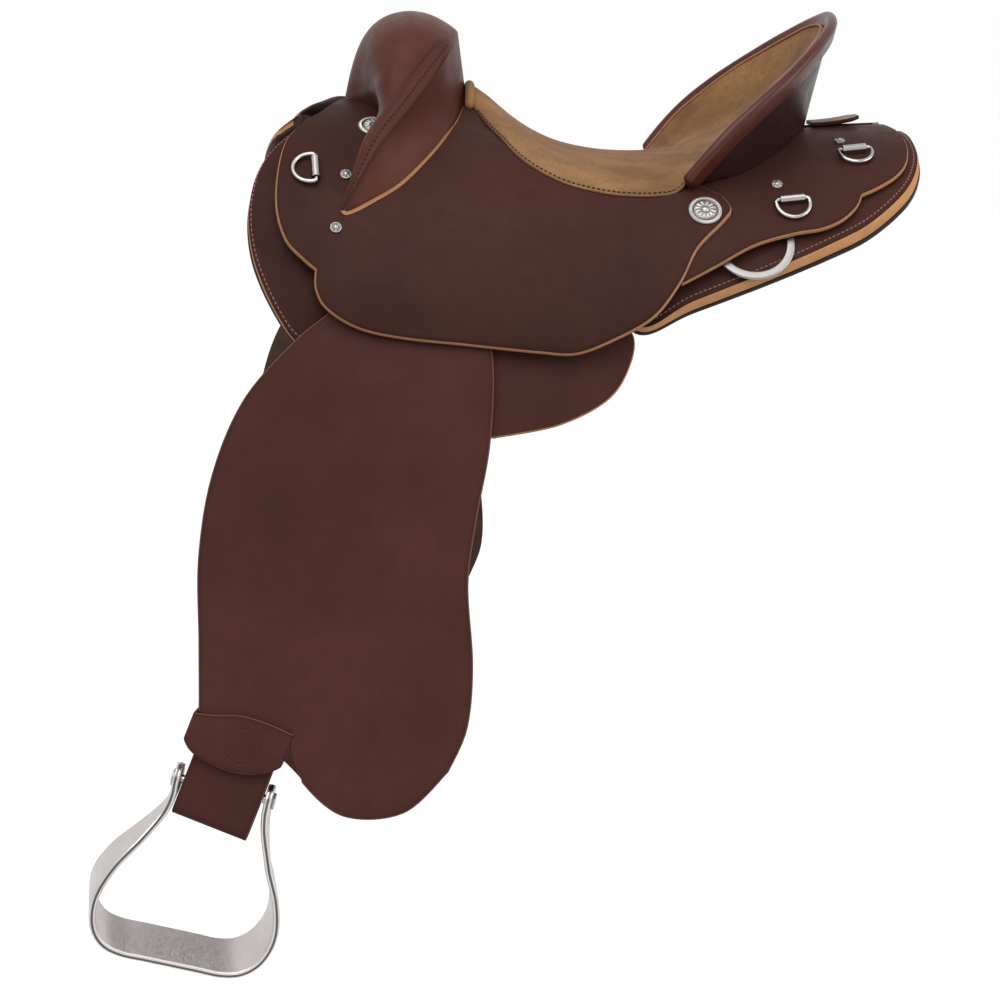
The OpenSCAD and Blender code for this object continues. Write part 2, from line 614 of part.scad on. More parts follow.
module tree_fork() {
    skin = pushed(fork_grid(fork_core_reach), -cover_t - core_gap);
    last = len(section_steps) - 1;
    color(wood) loft([for (i = [0 : fork_steps])
        let (r = skin[i],
             s = fork_core_reach * (2 * i / fork_steps - 1),
             f = on_side(over(fork_front, s), bar_off + tree_gap),
             g = on_side(over(fork_back, s), bar_off + tree_gap))
        concat([for (j = [1 : last - 1]) r[j]], [lerp(g, f, 0.22), lerp(f, g, 0.22)])]);
}
// The band on the rim, from near the top down to the foot of the roll
welt_gap = 0.8;
welt_start = 0.17;
welt_end = 0.92;
module fork_welt(s) {
    cut = [for (i = [0 : 20])
        let (k = lerp(welt_start, welt_end, i / 20))
        [for (j = [0 : 3]) lerp(on_fork(k, ridge_t), on_fork(k, brink_t), j / 3)]];
    color(leather_red) mirrored(s) slab(pushed(cut, welt_gap + welt_t), pushed(cut, welt_gap));
}

// Seat: rows from its rolled front to the top of the cantle, arched across

function raised(p) =
    [p[0] * grade, p[1] * girth, p[2] + (cantle_top - drawn_cantle) * ease((p[2] - 70) / 130)];
seat_seam = [[86, 5.6], [75, 12.6], [64, 18.6], [48, 24.5], [28, 28.7], [4, 31.1], [-26, 32.8],
    [-52, 33.2], [-78, 32.8], [-98, 31.2]];
rim_inner = [[-122, 129, 86], [-151, 126, 109], [-186, 110, 134], [-220, 82, 161], [-246, 43, 189]];
seat_middle = [[86, 0, 150], [73, 0, 141], [60, 0, 130], [45, 0, 118], [25, 0, 105], [0, 0, 94],
    [-30, 0, 87], [-60, 0, 84], [-95, 0, 84], [-130, 0, 88], [-165, 0, 98], [-198, 0, 118], [-224, 0, 145],
    [-243, 0, 175], [-254, 0, 201]];
seat_edge = concat([for (p = seat_seam) on_side(p, 0)], [for (p = rim_inner) raised(p)]);
seat_rows = len(seat_middle) - 1;
function on_seat(u, v) =
    let (c = raised(curve_at(seat_middle, u / seat_rows)),
         e = curve_at(seat_edge, u / seat_rows),
         w = abs(v))
    [lerp(c[0], e[0], w ^ 2), e[1] * v, lerp(c[2], e[2], w ^ 2.2)];
function seat_grid(u0, u1, nu, v, nv) =
    [for (i = [0 : nu]) [for (j = [0 : nv]) on_seat(lerp(u0, u1, i / nu), v * (1 - 2 * j / nv))]];
// Depth below the seat's face of each point of a grid, thinner towards the edges
function sunk(g, depth, thick, nv, v) =
    [for (i = [0 : len(g) - 1]) [for (j = [0 : nv])
        g[i][j] - (depth + thick * (1 - (v * (2 * j / nv - 1)) ^ 2)) * grid_normal(g, i, j)]];

module seat_cover() {
    skin = seat_grid(0, seat_rows, 30, 1, 12);
    color(suede) slab(skin, pushed(skin, -suede_t));
}
foam_reach = 0.78;
foam_edge = 2;
module seat_foam() {
    g = seat_grid(0.7, 9, 18, foam_reach, 10);
    under = suede_t + layer_gap;
    color([0.85, 0.80, 0.65]) slab(sunk(g, under, 0, 10, foam_reach),
        sunk(g, under + foam_edge, foam_t - foam_edge, 10, foam_reach));
}
strainer_t = 1.5;
module seat_strainer() {
    g = seat_grid(1, 8.5, 16, foam_reach, 10);
    under = suede_t + 3 * layer_gap + foam_edge;
    color(steel) slab(sunk(g, under, foam_t - foam_edge, 10, foam_reach),
        sunk(g, under + strainer_t, foam_t - foam_edge, 10, foam_reach));
}
cantle_board_t = 4;
module tree_cantle() {
    g = seat_grid(9.9, 13, 10, 0.55, 8);
    under = suede_t + layer_gap;
    color(wood) slab(pushed(g, -under), pushed(g, -under - cantle_board_t));
}

// Cantle: a rolled binding along the rim and a leather back under it

rim = [[-265, 0, 214], [-261, 32, 206], [-249, 60, 192], [-230, 88, 172], [-203, 115, 150],
    [-177, 130, 131], [-150, 138, 113], [-127, 141, 94], [-105, 137, 71]];
cantle_foot = [[-245, 0], [-240, 5], [-224, 12], [-200, 19.5], [-178, 24], [-158, 27], [-140, 28.5],
    [-124, 29.5]];
rim_r = [for (p = rim) raised(p)];
module cantle_binding() {
    color(leather_dark) cord_tube([for (i = [0 : 36]) over(rim_r, 1 - i / 18)], binding_d, 10);
}
cover_gap = 1.6;
cantle_lift = 0.6;
module cantle_cover() {
    foot = [for (p = cantle_foot) on_side(p, rear_off + cantle_lift)];
    skin = [for (i = [0 : 28])
        let (t = 1 - i / 14, r = over(rim_r, t), f = over(foot, t), d = unit(f - r))
        [for (j = [0 : 5]) lerp(r + (binding_d / 2 + cover_gap) * d, f, j / 5)]];
    color(leather_dark) slab(skin, pushed(skin, cover_t));
}

// Fittings on the leather: X forward, Y down the slope, Z outwards

function leather_normal(p) =
    unit(cross(on_side([p[0] + 1, p[1]], 0) - on_side([p[0] - 1, p[1]], 0),
        on_side([p[0], p[1] + 1], 0) - on_side([p[0], p[1] - 1], 0)));
module at_point(s, p, off, yaw) {
    n = leather_normal(p);
    mirrored(s) translate(on_side(p, 0) + off * n)
        rotate([-asin(n[1]), atan2(n[0], n[2]), 0]) rotate([0, 0, yaw]) children();
}

seat_off = 0.3;
concho_spots = [[188, 20, 0], [-123, 36.2, 0]];
screw_spots = [[223, 51, 0], [213, 38, 0], [-195, 31, rear_off], [-267, 16, rear_off]];
concho_h = 5;
screw_h = 3;
module conchos() {
    color(steel) for (s = [1, -1], p = concho_spots) at_point(s, p, p[2] + seat_off, 0)
        rotate_extrude() polygon(concat([[0, 0], [concho_d / 2, 0], [concho_d / 2, concho_h * 0.3]],
            [for (i = [1 : 8]) [concho_d / 2 * cos(90 * i / 8), concho_h * (0.3 + 0.7 * sin(90 * i / 8))]]));
}
module screws() {
    color(steel) for (s = [1, -1], p = screw_spots) at_point(s, p, p[2] + seat_off, 0)
        rotate_extrude() polygon(concat([[0, 0], [screw_d / 2, 0], [screw_d / 2, screw_h * 0.3]],
            [for (i = [1 : 6]) [screw_d / 2 * cos(90 * i / 6), screw_h * (0.3 + 0.7 * sin(90 * i / 6))]]));
}

// Small dees: place of the clip, layer and turn of the bar on the leather
front_clip = [241, 37.5];
lower_clip = [-206, 34.6];
upper_clip = [-277, 19.6];
front_turn = -84;
lower_turn = 4;
upper_turn = 6;
clip_axis = clip_d / 2 + 0.6;
dee_sink = 5;
dee_shank = 5;
module clip() {
    difference() {
        union() {
            rotate([0, 90, 0]) cylinder(d = clip_d, h = clip_l, center = true);
            translate([-clip_l / 2, -clip_d, -clip_axis + seat_off]) cube([clip_l, clip_d, clip_axis]);
        }
        rotate([0, 90, 0]) cylinder(d = dee_wire + 2 * run_gap, h = clip_l + 2, center = true);
    }
}
module dee_clips() {
    color(steel) for (s = [1, -1]) {
        at_point(s, front_clip, clip_axis, front_turn) clip();
        at_point(s, lower_clip, rear_off + clip_axis, lower_turn) clip();
        at_point(s, upper_clip, rear_off + clip_axis, upper_turn) clip();
    }
}
module small_dee() {
    rotate([-dee_sink, 0, 0]) {
        rotate([0, 90, 0]) cylinder(d = dee_wire, h = 2 * dee_r, center = true);
        for (k = [-1, 1]) {
            translate([k * dee_r, 0, 0]) sphere(d = dee_wire);
            translate([k * dee_r, 0, 0]) rotate([-90, 0, 0]) cylinder(d = dee_wire, h = dee_shank);
        }
        translate([0, dee_shank, 0]) rotate_extrude(angle = 180) translate([dee_r, 0]) circle(d = dee_wire);
    }
}
module dee_front(s) {
    color(steel) at_point(s, front_clip, clip_axis, front_turn) small_dee();
}
module dee_rear_lower(s) {
    color(steel) at_point(s, lower_clip, rear_off + clip_axis, lower_turn) small_dee();
}
module dee_rear_upper(s) {
    color(steel) at_point(s, upper_clip, rear_off + clip_axis, upper_turn) small_dee();
}

// Rigging dees: a flat bow on a round bar that turns in a leather tab
rear_tab = [-167, 43.2];
front_tab = [160, 56.3];
rear_tab_turn = 19;
front_tab_turn = 16;
tab_wall = 1.8;
tab_l = 46;
rear_tail = 13;
front_tail = 15.2;
tab_d = rig_bar_t + 2 * tab_wall;
rear_tab_gap = 0.9;
rear_tab_off = skirt_off(rear_tab) + tab_d / 2 + rear_tab_gap;
front_tab_in = 7;
front_tab_off = skirt_off(front_tab) - front_tab_in;
module rigging_tab(tail) {
    difference() {
        union() {
            rotate([0, 90, 0]) cylinder(d = tab_d, h = tab_l, center = true);
            translate([-tab_l / 2, -tail, -tab_d / 2]) cube([tab_l, tail, tab_d / 2]);
        }
        rotate([0, 90, 0]) cylinder(d = rig_bar_t + 2 * run_gap, h = tab_l + 2, center = true);
    }
}
module rigging_dee() {
    rotate([0, 90, 0]) cylinder(d = rig_bar_t, h = 2 * rig_r, center = true);
    translate([0, 0, -rig_bar_t / 2]) rotate_extrude(angle = 180)
        translate([rig_r - rig_bar_w / 2, 0]) square([rig_bar_w, rig_bar_t]);
}
module rigging_tab_rear(s) {
    color(leather_dark) at_point(s, rear_tab, rear_tab_off, rear_tab_turn) rigging_tab(rear_tail);
}
module rigging_tab_front(s) {
    color(leather_dark) at_point(s, front_tab, front_tab_off, front_tab_turn) rigging_tab(front_tail);
}
module rigging_dee_rear(s) {
    color(steel) at_point(s, rear_tab, rear_tab_off, rear_tab_turn) rigging_dee();
}
module rigging_dee_front(s) {
    color(steel) at_point(s, front_tab, front_tab_off, front_tab_turn) rigging_dee();
}

crupper_w = 28;
crupper_t = 4;
crupper_from = -252;
crupper_to = -299;
crupper_lift = 5;
module crupper_strap() {
    rows = [for (i = [0 : 8]) [for (j = [0 : 4])
        [lerp(crupper_from, crupper_to, i / 8), crupper_w * (j / 4 - 0.5), crupper_lift * (i / 8) ^ 2]]];
    function lain(off) = [for (r = rows) [for (p = r)
        let (b = on_side([p[0], 0], rear_off + layer_gap + 0.2)) [b[0], p[1], b[2] + p[2] + off]]];
    color(leather_dark) slab(lain(crupper_t), lain(0));
}

tree_bar(1);  // tree_bar_left
tree_bar(-1);  // tree_bar_right
tree_fork();
tree_cantle();
seat_strainer();
seat_foam();
seat_cover();
fork_cover();
fork_welt(1);  // fork_welt_left
fork_welt(-1);  // fork_welt_right
cantle_cover();
cantle_binding();
seat_jockey(1);  // seat_jockey_left
seat_jockey(-1);  // seat_jockey_right
rear_jockey(1);  // rear_jockey_left
rear_jockey(-1);  // rear_jockey_right
skirt(1);  // skirt_left
skirt(-1);  // skirt_right
lining(1);  // lining_left
lining(-1);  // lining_right
sweat_flap(1);  // sweat_flap_left
sweat_flap(-1);  // sweat_flap_right
hanger_stud(1);  // hanger_stud_left
hanger_stud(-1);  // hanger_stud_right
conchos();
screws();
dee_clips();
crupper_strap();
rigging_tab_rear(1);  // rigging_tab_rear_left
rigging_tab_rear(-1);  // rigging_tab_rear_right
rigging_tab_front(1);  // rigging_tab_front_left
rigging_tab_front(-1);  // rigging_tab_front_right
fender(1);  // fender_left
fender(-1);  // fender_right
stirrup_leather(1);  // stirrup_leather_left
stirrup_leather(-1);  // stirrup_leather_right
keeper(1);  // keeper_left
keeper(-1);  // keeper_right
stirrup(1);  // stirrup_left
stirrup(-1);  // stirrup_right
stirrup_bolt(1);  // stirrup_bolt_left
stirrup_bolt(-1);  // stirrup_bolt_right
stirrup_roller(1);  // stirrup_roller_left
stirrup_roller(-1);  // stirrup_roller_right
dee_front(1);  // dee_front_left
dee_front(-1);  // dee_front_right
dee_rear_upper(1);  // dee_rear_upper_left
dee_rear_upper(-1);  // dee_rear_upper_right
dee_rear_lower(1);  // dee_rear_lower_left
dee_rear_lower(-1);  // dee_rear_lower_right
rigging_dee_rear(1);  // rigging_dee_rear_left
rigging_dee_rear(-1);  // rigging_dee_rear_right
rigging_dee_front(1);  // rigging_dee_front_left
rigging_dee_front(-1);  // rigging_dee_front_right
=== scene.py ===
"""Looks of a stock saddle: leather, suede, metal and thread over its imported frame.

X runs forward, Y to the rider's left and Z up. Patterns are written in millimetres on the side
curve of the saddle, and become metres when a mesh is made.
"""
import json
import math
from collections import namedtuple
from types import SimpleNamespace

import bmesh
import bpy
import numpy as np
from bpy.props import FloatProperty, FloatVectorProperty, PointerProperty
from mathutils import Matrix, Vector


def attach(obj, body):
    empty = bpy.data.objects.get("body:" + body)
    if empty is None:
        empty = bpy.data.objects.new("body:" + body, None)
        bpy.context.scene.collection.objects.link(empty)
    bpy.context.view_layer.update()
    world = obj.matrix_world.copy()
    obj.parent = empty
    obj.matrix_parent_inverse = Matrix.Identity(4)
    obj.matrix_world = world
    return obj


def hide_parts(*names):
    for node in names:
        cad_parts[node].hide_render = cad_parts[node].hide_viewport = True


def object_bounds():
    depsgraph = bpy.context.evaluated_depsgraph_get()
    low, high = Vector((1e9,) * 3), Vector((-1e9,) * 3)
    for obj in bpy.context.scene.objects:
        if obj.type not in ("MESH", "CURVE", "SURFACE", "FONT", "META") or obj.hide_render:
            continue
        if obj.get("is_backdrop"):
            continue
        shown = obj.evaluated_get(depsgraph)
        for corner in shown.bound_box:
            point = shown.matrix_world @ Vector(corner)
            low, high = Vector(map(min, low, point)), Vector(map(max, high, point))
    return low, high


bl_info = {
    "name": "Stock Saddle",
    "version": (1, 0, 0),
    "blender": (4, 5, 0),
    "location": "3D View > Sidebar > Saddle",
    "description": "Dresses the frame of a stock saddle in leather, suede, metal and thread",
    "category": "Object",
}

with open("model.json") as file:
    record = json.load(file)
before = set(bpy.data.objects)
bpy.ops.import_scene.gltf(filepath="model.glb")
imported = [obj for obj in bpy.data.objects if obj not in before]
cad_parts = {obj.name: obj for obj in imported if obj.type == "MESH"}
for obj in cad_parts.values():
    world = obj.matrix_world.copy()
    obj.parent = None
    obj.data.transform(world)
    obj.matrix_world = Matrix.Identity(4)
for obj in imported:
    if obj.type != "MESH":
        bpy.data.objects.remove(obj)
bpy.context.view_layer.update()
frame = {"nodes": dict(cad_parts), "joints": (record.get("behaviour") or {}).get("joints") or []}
JOINTS = {joint["name"]: joint for joint in frame["joints"]}

MM = 0.001
SIDES = (("left", 1.0), ("right", -1.0))
DARK_LEATHER = "dark_brown_leather"
RED_LEATHER = "red_brown_leather"
# Fine steps for each step of a pattern's edge
FINE = 8

# Side curve of the leather: each cross-section is part of an ellipse, and a pattern point is
# (x, degrees down from the crown)
CROWN = 116.0
HALF_WIDTH = 238.0
FALL = 300.0
CROWN_CHANGE = ((-340, 0), (-150, -4), (0, 0), (125, 16), (320, 34))
HALF_CHANGE = ((-340, 17), (-150, 10), (0, 0), (125, -8), (320, -16))
FALL_CHANGE = ((-340, 30), (-150, 20), (0, 0), (125, -10), (320, -25))
BAR_DEPTH = ((-340, 2), (-270, 4), (-170, 9), (-90, 13), (0, 15), (180, 15), (230, 13), (265, 8), (320, 3))
LAYER_GAP = 0.4
# Behind the fork the leather climbs to the front of the seat: from and to x, and down to an angle
POMMEL_RISE = 8.0
POMMEL_START = 60.0
POMMEL_END = 130.0
POMMEL_RUN = 25.0
POMMEL_LOW = 16.0
POMMEL_FADE = 10.0
# Ahead of the bar the skirt comes up under the jockey, less so lower down
FRONT_START = 225.0
FRONT_RUN = 45.0
FRONT_DEPTH = 1.0
FRONT_LOW_DEPTH = 11.0
FRONT_LOW_START = 40.0
FRONT_LOW_RUN = 18.0
# Behind the seat the skirt's raw edge slants outwards, but not at the centre
SLANT_START = -40.0
SLANT_RUN = 70.0
SLANT_TOP = 3.0
SLANT_FADE = 12.0
NARROWEST = 9.0
# Slow waves of a hide, as lengths for each radian, and the shift of the first
HIDE_WAVES = (41.0, 90.0, 33.0, 47.0)
HIDE_SHIFT = 1.3

# Edges of the patterns, as runs of points with the steps in each run
JOCKEY_TOP = (
    (((213, 3), (195, 7), (176, 13), (169, 21), (178, 32), (200, 41), (220, 46)), 12),
    (((220, 46), (213, 47.8), (190, 44.6), (157, 38), (126, 27), (108, 16.5), (98, 8)), 14),
    (((98, 8), (91, 6.5)), 1),
    (((91, 6.5), (75, 14), (47, 26), (17, 31), (-29, 34), (-76, 34), (-104, 31.5), (-119, 31)), 16),
)
JOCKEY_LOW = (
    (((219, 6), (234, 15), (250, 21), (267, 29), (275, 39), (276, 48), (268, 54.5), (253, 58),
      (241, 60)), 12),
    (((241, 60), (241, 64), (231, 67.5), (203, 70.3), (161, 71), (101, 70.4), (46, 69.5)), 14),
    (((46, 69.5), (36, 69.3)), 1),
    (((36, 69.3), (5, 68.5), (-30, 65), (-67, 60), (-93, 53), (-111, 46), (-137, 40), (-146, 37),
      (-140, 34)), 16),
)
REAR_JOCKEY_TOP = (
    (((-96, 40), (-105, 33), (-125, 29.5), (-165, 25), (-205, 17), (-240, 4), (-262, 2.5)), 12),
    (((-262, 2.5), (-290, 2.2), (-318, 2)), 9),
)
REAR_JOCKEY_LOW = (
    (((-96, 53), (-129, 49), (-166, 44.5), (-204, 42), (-231, 41), (-252, 39), (-267, 36), (-274, 33)), 12),
    (((-274, 33), (-292, 31), (-311, 28), (-324, 24), (-331, 18), (-331, 10), (-324, 2)), 9),
)
SKIRT_TOP = (
    (((262, 22), (261, 21), (259, 20), (256, 19), (252, 18.5), (246, 18), (238, 17), (228, 16), (212, 15),
      (185, 16), (100, 22), (20, 27), (-30, 27.5), (-60, 27.5), (-110, 25), (-215, 7)), 30),
    (((-215, 7), (-260, 3.5), (-300, 2.5), (-326, 2)), 14),
)
SKIRT_LOW = (
    (((268, 25), (291, 35), (302, 46), (301, 55), (291, 63), (273, 71), (258, 74.5), (238, 74), (215, 66),
      (185, 53), (100, 48), (20, 49), (-30, 54), (-59, 61), (-110, 55.5), (-195, 48)), 30),
    (((-195, 48), (-240, 44), (-278, 40), (-311, 34), (-331, 28), (-343, 20), (-346, 10), (-342, 2)), 14),
)
# Fender and flap patterns are (forward, up) from the hanger stud
FENDER_FRONT = (
    (((44, -52), (68, -105), (87, -140), (112, -208), (114, -282), (98, -356), (70, -426), (46, -486)), 16),
    (((46, -486), (10, -484), (-22, -479), (-38, -471)), 8),
)
FENDER_REAR = (
    (((-42, -48), (-80, -82), (-110, -160), (-125, -231), (-140, -288), (-172, -355), (-189, -410),
      (-188, -454)), 16),
    (((-188, -454), (-164, -504), (-115, -527), (-70, -514), (-48, -492), (-39, -469)), 8),
)
FLAP_FRONT = (
    (((26, 14), (34, -14), (62, -48), (84, -96), (84, -130), (62, -162), (20, -182), (-20, -186)), 14),
)
FLAP_REAR = (
    (((-26, 14), (-36, -14), (-90, -48), (-150, -70), (-175, -92), (-171, -122), (-150, -152), (-104, -175),
      (-44, -186)), 14),
)
# The upper part of a fender is flat, then it bends towards upright
FLARE_START = 110.0
FLARE_ANGLE = math.radians(12)
FLARE_RADIUS = 500.0
BEND_END = FLARE_START + FLARE_RADIUS * math.sin(FLARE_ANGLE)
STITCH_GAP = 1.0
ROLLER_GAP = 0.3
STRAP_CLOSED = 58.0
STRAP_CLOSING = 52.0

# Fork: feet on the side curve and half curves over the roll, from the centre out to the tip of the leg
FORK_TIP_FOOT = (219, 47)
FORK_TIP = (219, 162, 48)
FORK_FRONT = ((214, 0), (196, 6.5), (178, 12.5), (171, 21), (184, 32.5), FORK_TIP_FOOT)
FORK_BACK = ((93, 0), (101, 8), (112, 17), (130, 27.5), (164, 38.5), FORK_TIP_FOOT)
FORK_RISE = ((198, 0, 221), (198, 48, 199), (191, 79, 160), (187, 104, 128), (200, 130, 97), FORK_TIP)
FORK_ROLL = ((136, 0, 230), (151, 58, 217), (169, 91, 182), (179, 112, 144), (201, 138, 107), FORK_TIP)
FORK_RIDGE = ((102, 0, 204), (121, 60, 197), (145, 88, 171), (166, 114, 148), (192, 140, 115), FORK_TIP)
FORK_BRINK = ((101, 0, 196), (114, 59, 186), (133, 87, 162), (154, 112, 138), (182, 140, 107), FORK_TIP)
FORK_HOLLOW = np.array((11.0, -4.0, -3.0))
FORK_FOOT = -5.0
FORK_PULL = 3.0
RIDGE_T = 0.56
BRINK_T = 0.66
BAND_START = 0.17
BAND_END = 0.985
BAND_GAP = 0.8

# Seat: its middle line, its seam on the jockeys and its edge inside the cantle's rim
SEAT_MIDDLE = ((86, 0, 150), (73, 0, 141), (60, 0, 130), (45, 0, 118), (25, 0, 105), (0, 0, 94),
               (-30, 0, 87), (-60, 0, 84), (-95, 0, 84), (-130, 0, 88), (-165, 0, 98), (-198, 0, 118),
               (-226, 0, 147), (-245, 0, 179), (-257, 0, 207))
SEAT_SEAM = ((88, 8), (75, 14.8), (64, 19.8), (48, 26.3), (28, 30.2), (4, 32.9), (-26, 34.4),
             (-52, 34.8), (-78, 34.4), (-98, 32.9))
SEAT_LIFT = 2.4
SEAT_DISH = 2.2
SEAT_ROWS = len(SEAT_MIDDLE) - 1
RIM_INNER = ((-118, 131, 87), (-143, 130, 115), (-190, 111, 155), (-226, 79, 182), (-248, 43, 200))
RIM = ((-265, 0, 211), (-261, 32, 206), (-249, 60, 196), (-230, 88, 181), (-203, 115, 160), (-177, 130, 140),
       (-150, 138, 117), (-128, 140, 94), (-106, 136, 68))
CANTLE_FOOT = ((-245, 0), (-240, 5), (-224, 12), (-200, 19.5), (-178, 24), (-158, 27), (-140, 28.5),
               (-124, 29.5))
COVER_GAP = 1.6
CANTLE_LIFT = 0.6

# Keeper outline, (forward, up from the bolt)
KEEPER_UPPER = ((-48, 75), (-20, 77), (8, 75), (32, 66), (58, 59))
KEEPER_LOWER = ((-48, 48), (-36, 37), (-18, 27), (3, 22.5), (26, 24), (42, 28), (58, 42))

# Places of the fittings: (x, degrees), with the turn of dees and tabs in degrees
CONCHO_SPOTS = ((185, 21), (-122, 37.7))
SCREW_SPOTS = ((223, 51, False), (213, 38, False), (-195, 30, True), (-268, 14.5, True))
DEE_SPOTS = (("dee_front", (241, 37.5), -84, False), ("dee_rear_lower", (-206, 34.6), 4, True),
             ("dee_rear_upper", (-277, 19.6), 6, True))
DEE_SINK = math.radians(-5)
FRONT_TAB = ("front", (160, 56.3), 16, 15.2)
REAR_TAB = ("rear", (-167, 43.2), 19, 13.0)
FRONT_TAB_IN = 7.0
REAR_TAB_GAP = 0.9
TAB_WALL = 1.8
SEAT_OFF = 0.3

Skin = namedtuple("Skin", "points quads parts rim")


# Smooth curves and surfaces


def ease(t):
    """Smooth step from 0 to 1: three squares less two cubes."""
    t = np.clip(t, 0, 1)
    return t * t * (3 - 2 * t)


def hump(x, middle, width):
    """A smooth hump of height 1: a bell curve about its middle."""
    return np.exp(-(((x - middle) / width) ** 2))


def unit(v):
    """Vectors divided by their lengths."""
    return v / np.maximum(np.linalg.norm(v, axis=-1, keepdims=True), 1e-9)


def curve(points, t):
    """Points at t, from 0 to 1, of a smooth curve through the given points: a cubic between each
    two, with a slope at each point of half the step between its neighbours."""
    p = np.asarray(points, float)
    last = len(p) - 1
    s = np.clip(np.asarray(t, float), 0, 1) * last
    k = np.minimum(np.floor(s).astype(int), last - 1)
    f = (s - k)[..., None]
    a, b, c, d = p[np.maximum(k - 1, 0)], p[k], p[k + 1], p[np.minimum(k + 2, last)]
    return 0.5 * (2 * b + (c - a) * f + (2 * a - 5 * b + 4 * c - d) * f**2 + (3 * b - a - 3 * c + d) * f**3)


def outline(runs):
    """An edge made of smooth runs that share their end points."""
    lines = [curve(points, np.linspace(0, 1, steps * FINE + 1)) for points, steps in runs]
    return np.concatenate([lines[0]] + [line[1:] for line in lines[1:]])


def strip(a, b, steps):
    """Grid of straight rows between two edges."""
    t = np.linspace(0, 1, steps + 1)[None, :, None]
    return a[:, None] + (b - a)[:, None] * t


def over(half, s):
    """Points at s, from -1 to 1, of a half curve joined to its mirror image at the centre plane."""
    half = np.asarray(half, float)
    other = half[:0:-1].copy()
    other[:, 1] *= -1
    return curve(np.concatenate((other, half)), (np.asarray(s, float) + 1) / 2)


def station(stops, x):
    """Smooth curve through (place, value) stops: a cubic between two stops, with the slope at each
    stop taken from its neighbours."""
    place, value = np.asarray(stops, float).T
    last = len(place) - 1
    before = np.maximum(np.arange(last + 1) - 1, 0)
    after = np.minimum(np.arange(last + 1) + 1, last)
    slope = (value[after] - value[before]) / (place[after] - place[before])
    k = np.clip(np.searchsorted(place, x, side="right") - 1, 0, last - 1)
    h = place[k + 1] - place[k]
    t = np.clip((x - place[k]) / h, 0, 1)
    return ((2 * t**3 - 3 * t**2 + 1) * value[k] + (t**3 - 2 * t**2 + t) * h * slope[k]
            + (3 * t**2 - 2 * t**3) * value[k + 1] + (t**3 - t**2) * h * slope[k + 1])


def on_side(p, off):
    """A pattern point on the side curve: an ellipse across, whose half axes change along x, grown
    outwards by off."""
    x, a = p[..., 0], np.radians(p[..., 1])
    climb = ease((x - POMMEL_START) / POMMEL_RUN) * ease((POMMEL_END - x) / POMMEL_RUN)
    off = off + POMMEL_RISE * climb * ease((POMMEL_LOW - np.abs(p[..., 1])) / POMMEL_FADE)
    half = HALF_WIDTH + station(HALF_CHANGE, x) + off
    fall = FALL + station(FALL_CHANGE, x)
    crown = CROWN + station(CROWN_CHANGE, x)
    return np.stack((x, half * np.sin(a), crown - fall + (fall + off) * np.cos(a)), -1)


def skirt_depth(p, z):
    """Offset of the skirt's outer face: the jockeys and the bar lie over it, and ahead of the bar
    it comes up under the jockey."""
    ahead = ease((p[..., 0] - FRONT_START) / FRONT_RUN)
    low = ease((p[..., 1] - FRONT_LOW_START) / FRONT_LOW_RUN)
    by_bar = station(BAR_DEPTH, p[..., 0])
    by_front = FRONT_DEPTH + (FRONT_LOW_DEPTH - FRONT_DEPTH) * low
    return rear_offset(z) - z.rear_jockey_t - 2 * LAYER_GAP - (by_bar + (by_front - by_bar) * ahead)


def rear_offset(z):
    """Offset of the rear jockey's face, which lies under the seat jockey."""
    return -z.jockey_t - LAYER_GAP


def flare(r):
    """How far a fender bends inwards at distance r from its stud: nothing, then an arc, then a
    straight slope."""
    d = np.maximum(0, np.asarray(r, float) - FLARE_START)
    run = FLARE_RADIUS * math.sin(FLARE_ANGLE)
    arc = FLARE_RADIUS - np.sqrt(FLARE_RADIUS**2 - np.minimum(d, run) ** 2)
    slope = FLARE_RADIUS * (1 - math.cos(FLARE_ANGLE)) + (d - run) * math.tan(FLARE_ANGLE)
    return np.where(d < run, arc, slope)


def on_dish(p, off):
    """A fender pattern point on its shallow dish about the stud."""
    return np.stack((p[..., 0], off - flare(np.linalg.norm(p, axis=-1)), p[..., 1]), -1)


def band_place(across):
    """Values of t over the fork's band, for shares of its width."""
    return RIDGE_T + (BRINK_T - RIDGE_T) * np.asarray(across)


def on_fork(s, t):
    """Point of the fork's face: s runs over the fork from right to left, t from the front foot along
    a weighted cubic to the ridge, straight to the brink, and along a hollow quadratic to the rear foot."""
    f, g = (on_side(over(h, s), FORK_FOOT)[:, None] for h in (FORK_FRONT, FORK_BACK))
    p, q, r, e = (over(h, s)[:, None] for h in (FORK_RISE, FORK_ROLL, FORK_RIDGE, FORK_BRINK))
    turn = np.where(s[:, None] < 0, FORK_HOLLOW * (1, -1, 1), FORK_HOLLOW)
    hollow = (e + g) / 2 + (np.sin(np.pi * np.abs(s))[:, None] * turn)[:, None]
    t = t[None, :, None]
    a = np.clip(t / RIDGE_T, 0, 1)
    m = np.clip((t - RIDGE_T) / (BRINK_T - RIDGE_T), 0, 1)
    b = np.clip((t - BRINK_T) / (1 - BRINK_T), 0, 1)
    near, far = (1 - a) ** 3, a**3
    mid, late = 3 * FORK_PULL * (1 - a) ** 2 * a, 3 * FORK_PULL * (1 - a) * a**2
    front = (near * f + mid * p + late * q + far * r) / (near + mid + late + far)
    rear = (1 - b) ** 2 * e + 2 * (1 - b) * b * hollow + b**2 * g
    return np.where(t <= RIDGE_T, front, np.where(t <= BRINK_T, r + (e - r) * m, rear))


def seat_edge():
    """The seat's edge: its seam on the jockeys, then the inside of the cantle's rim."""
    return np.concatenate((on_side(np.array(SEAT_SEAM, float), SEAT_LIFT), np.array(RIM_INNER, float)))


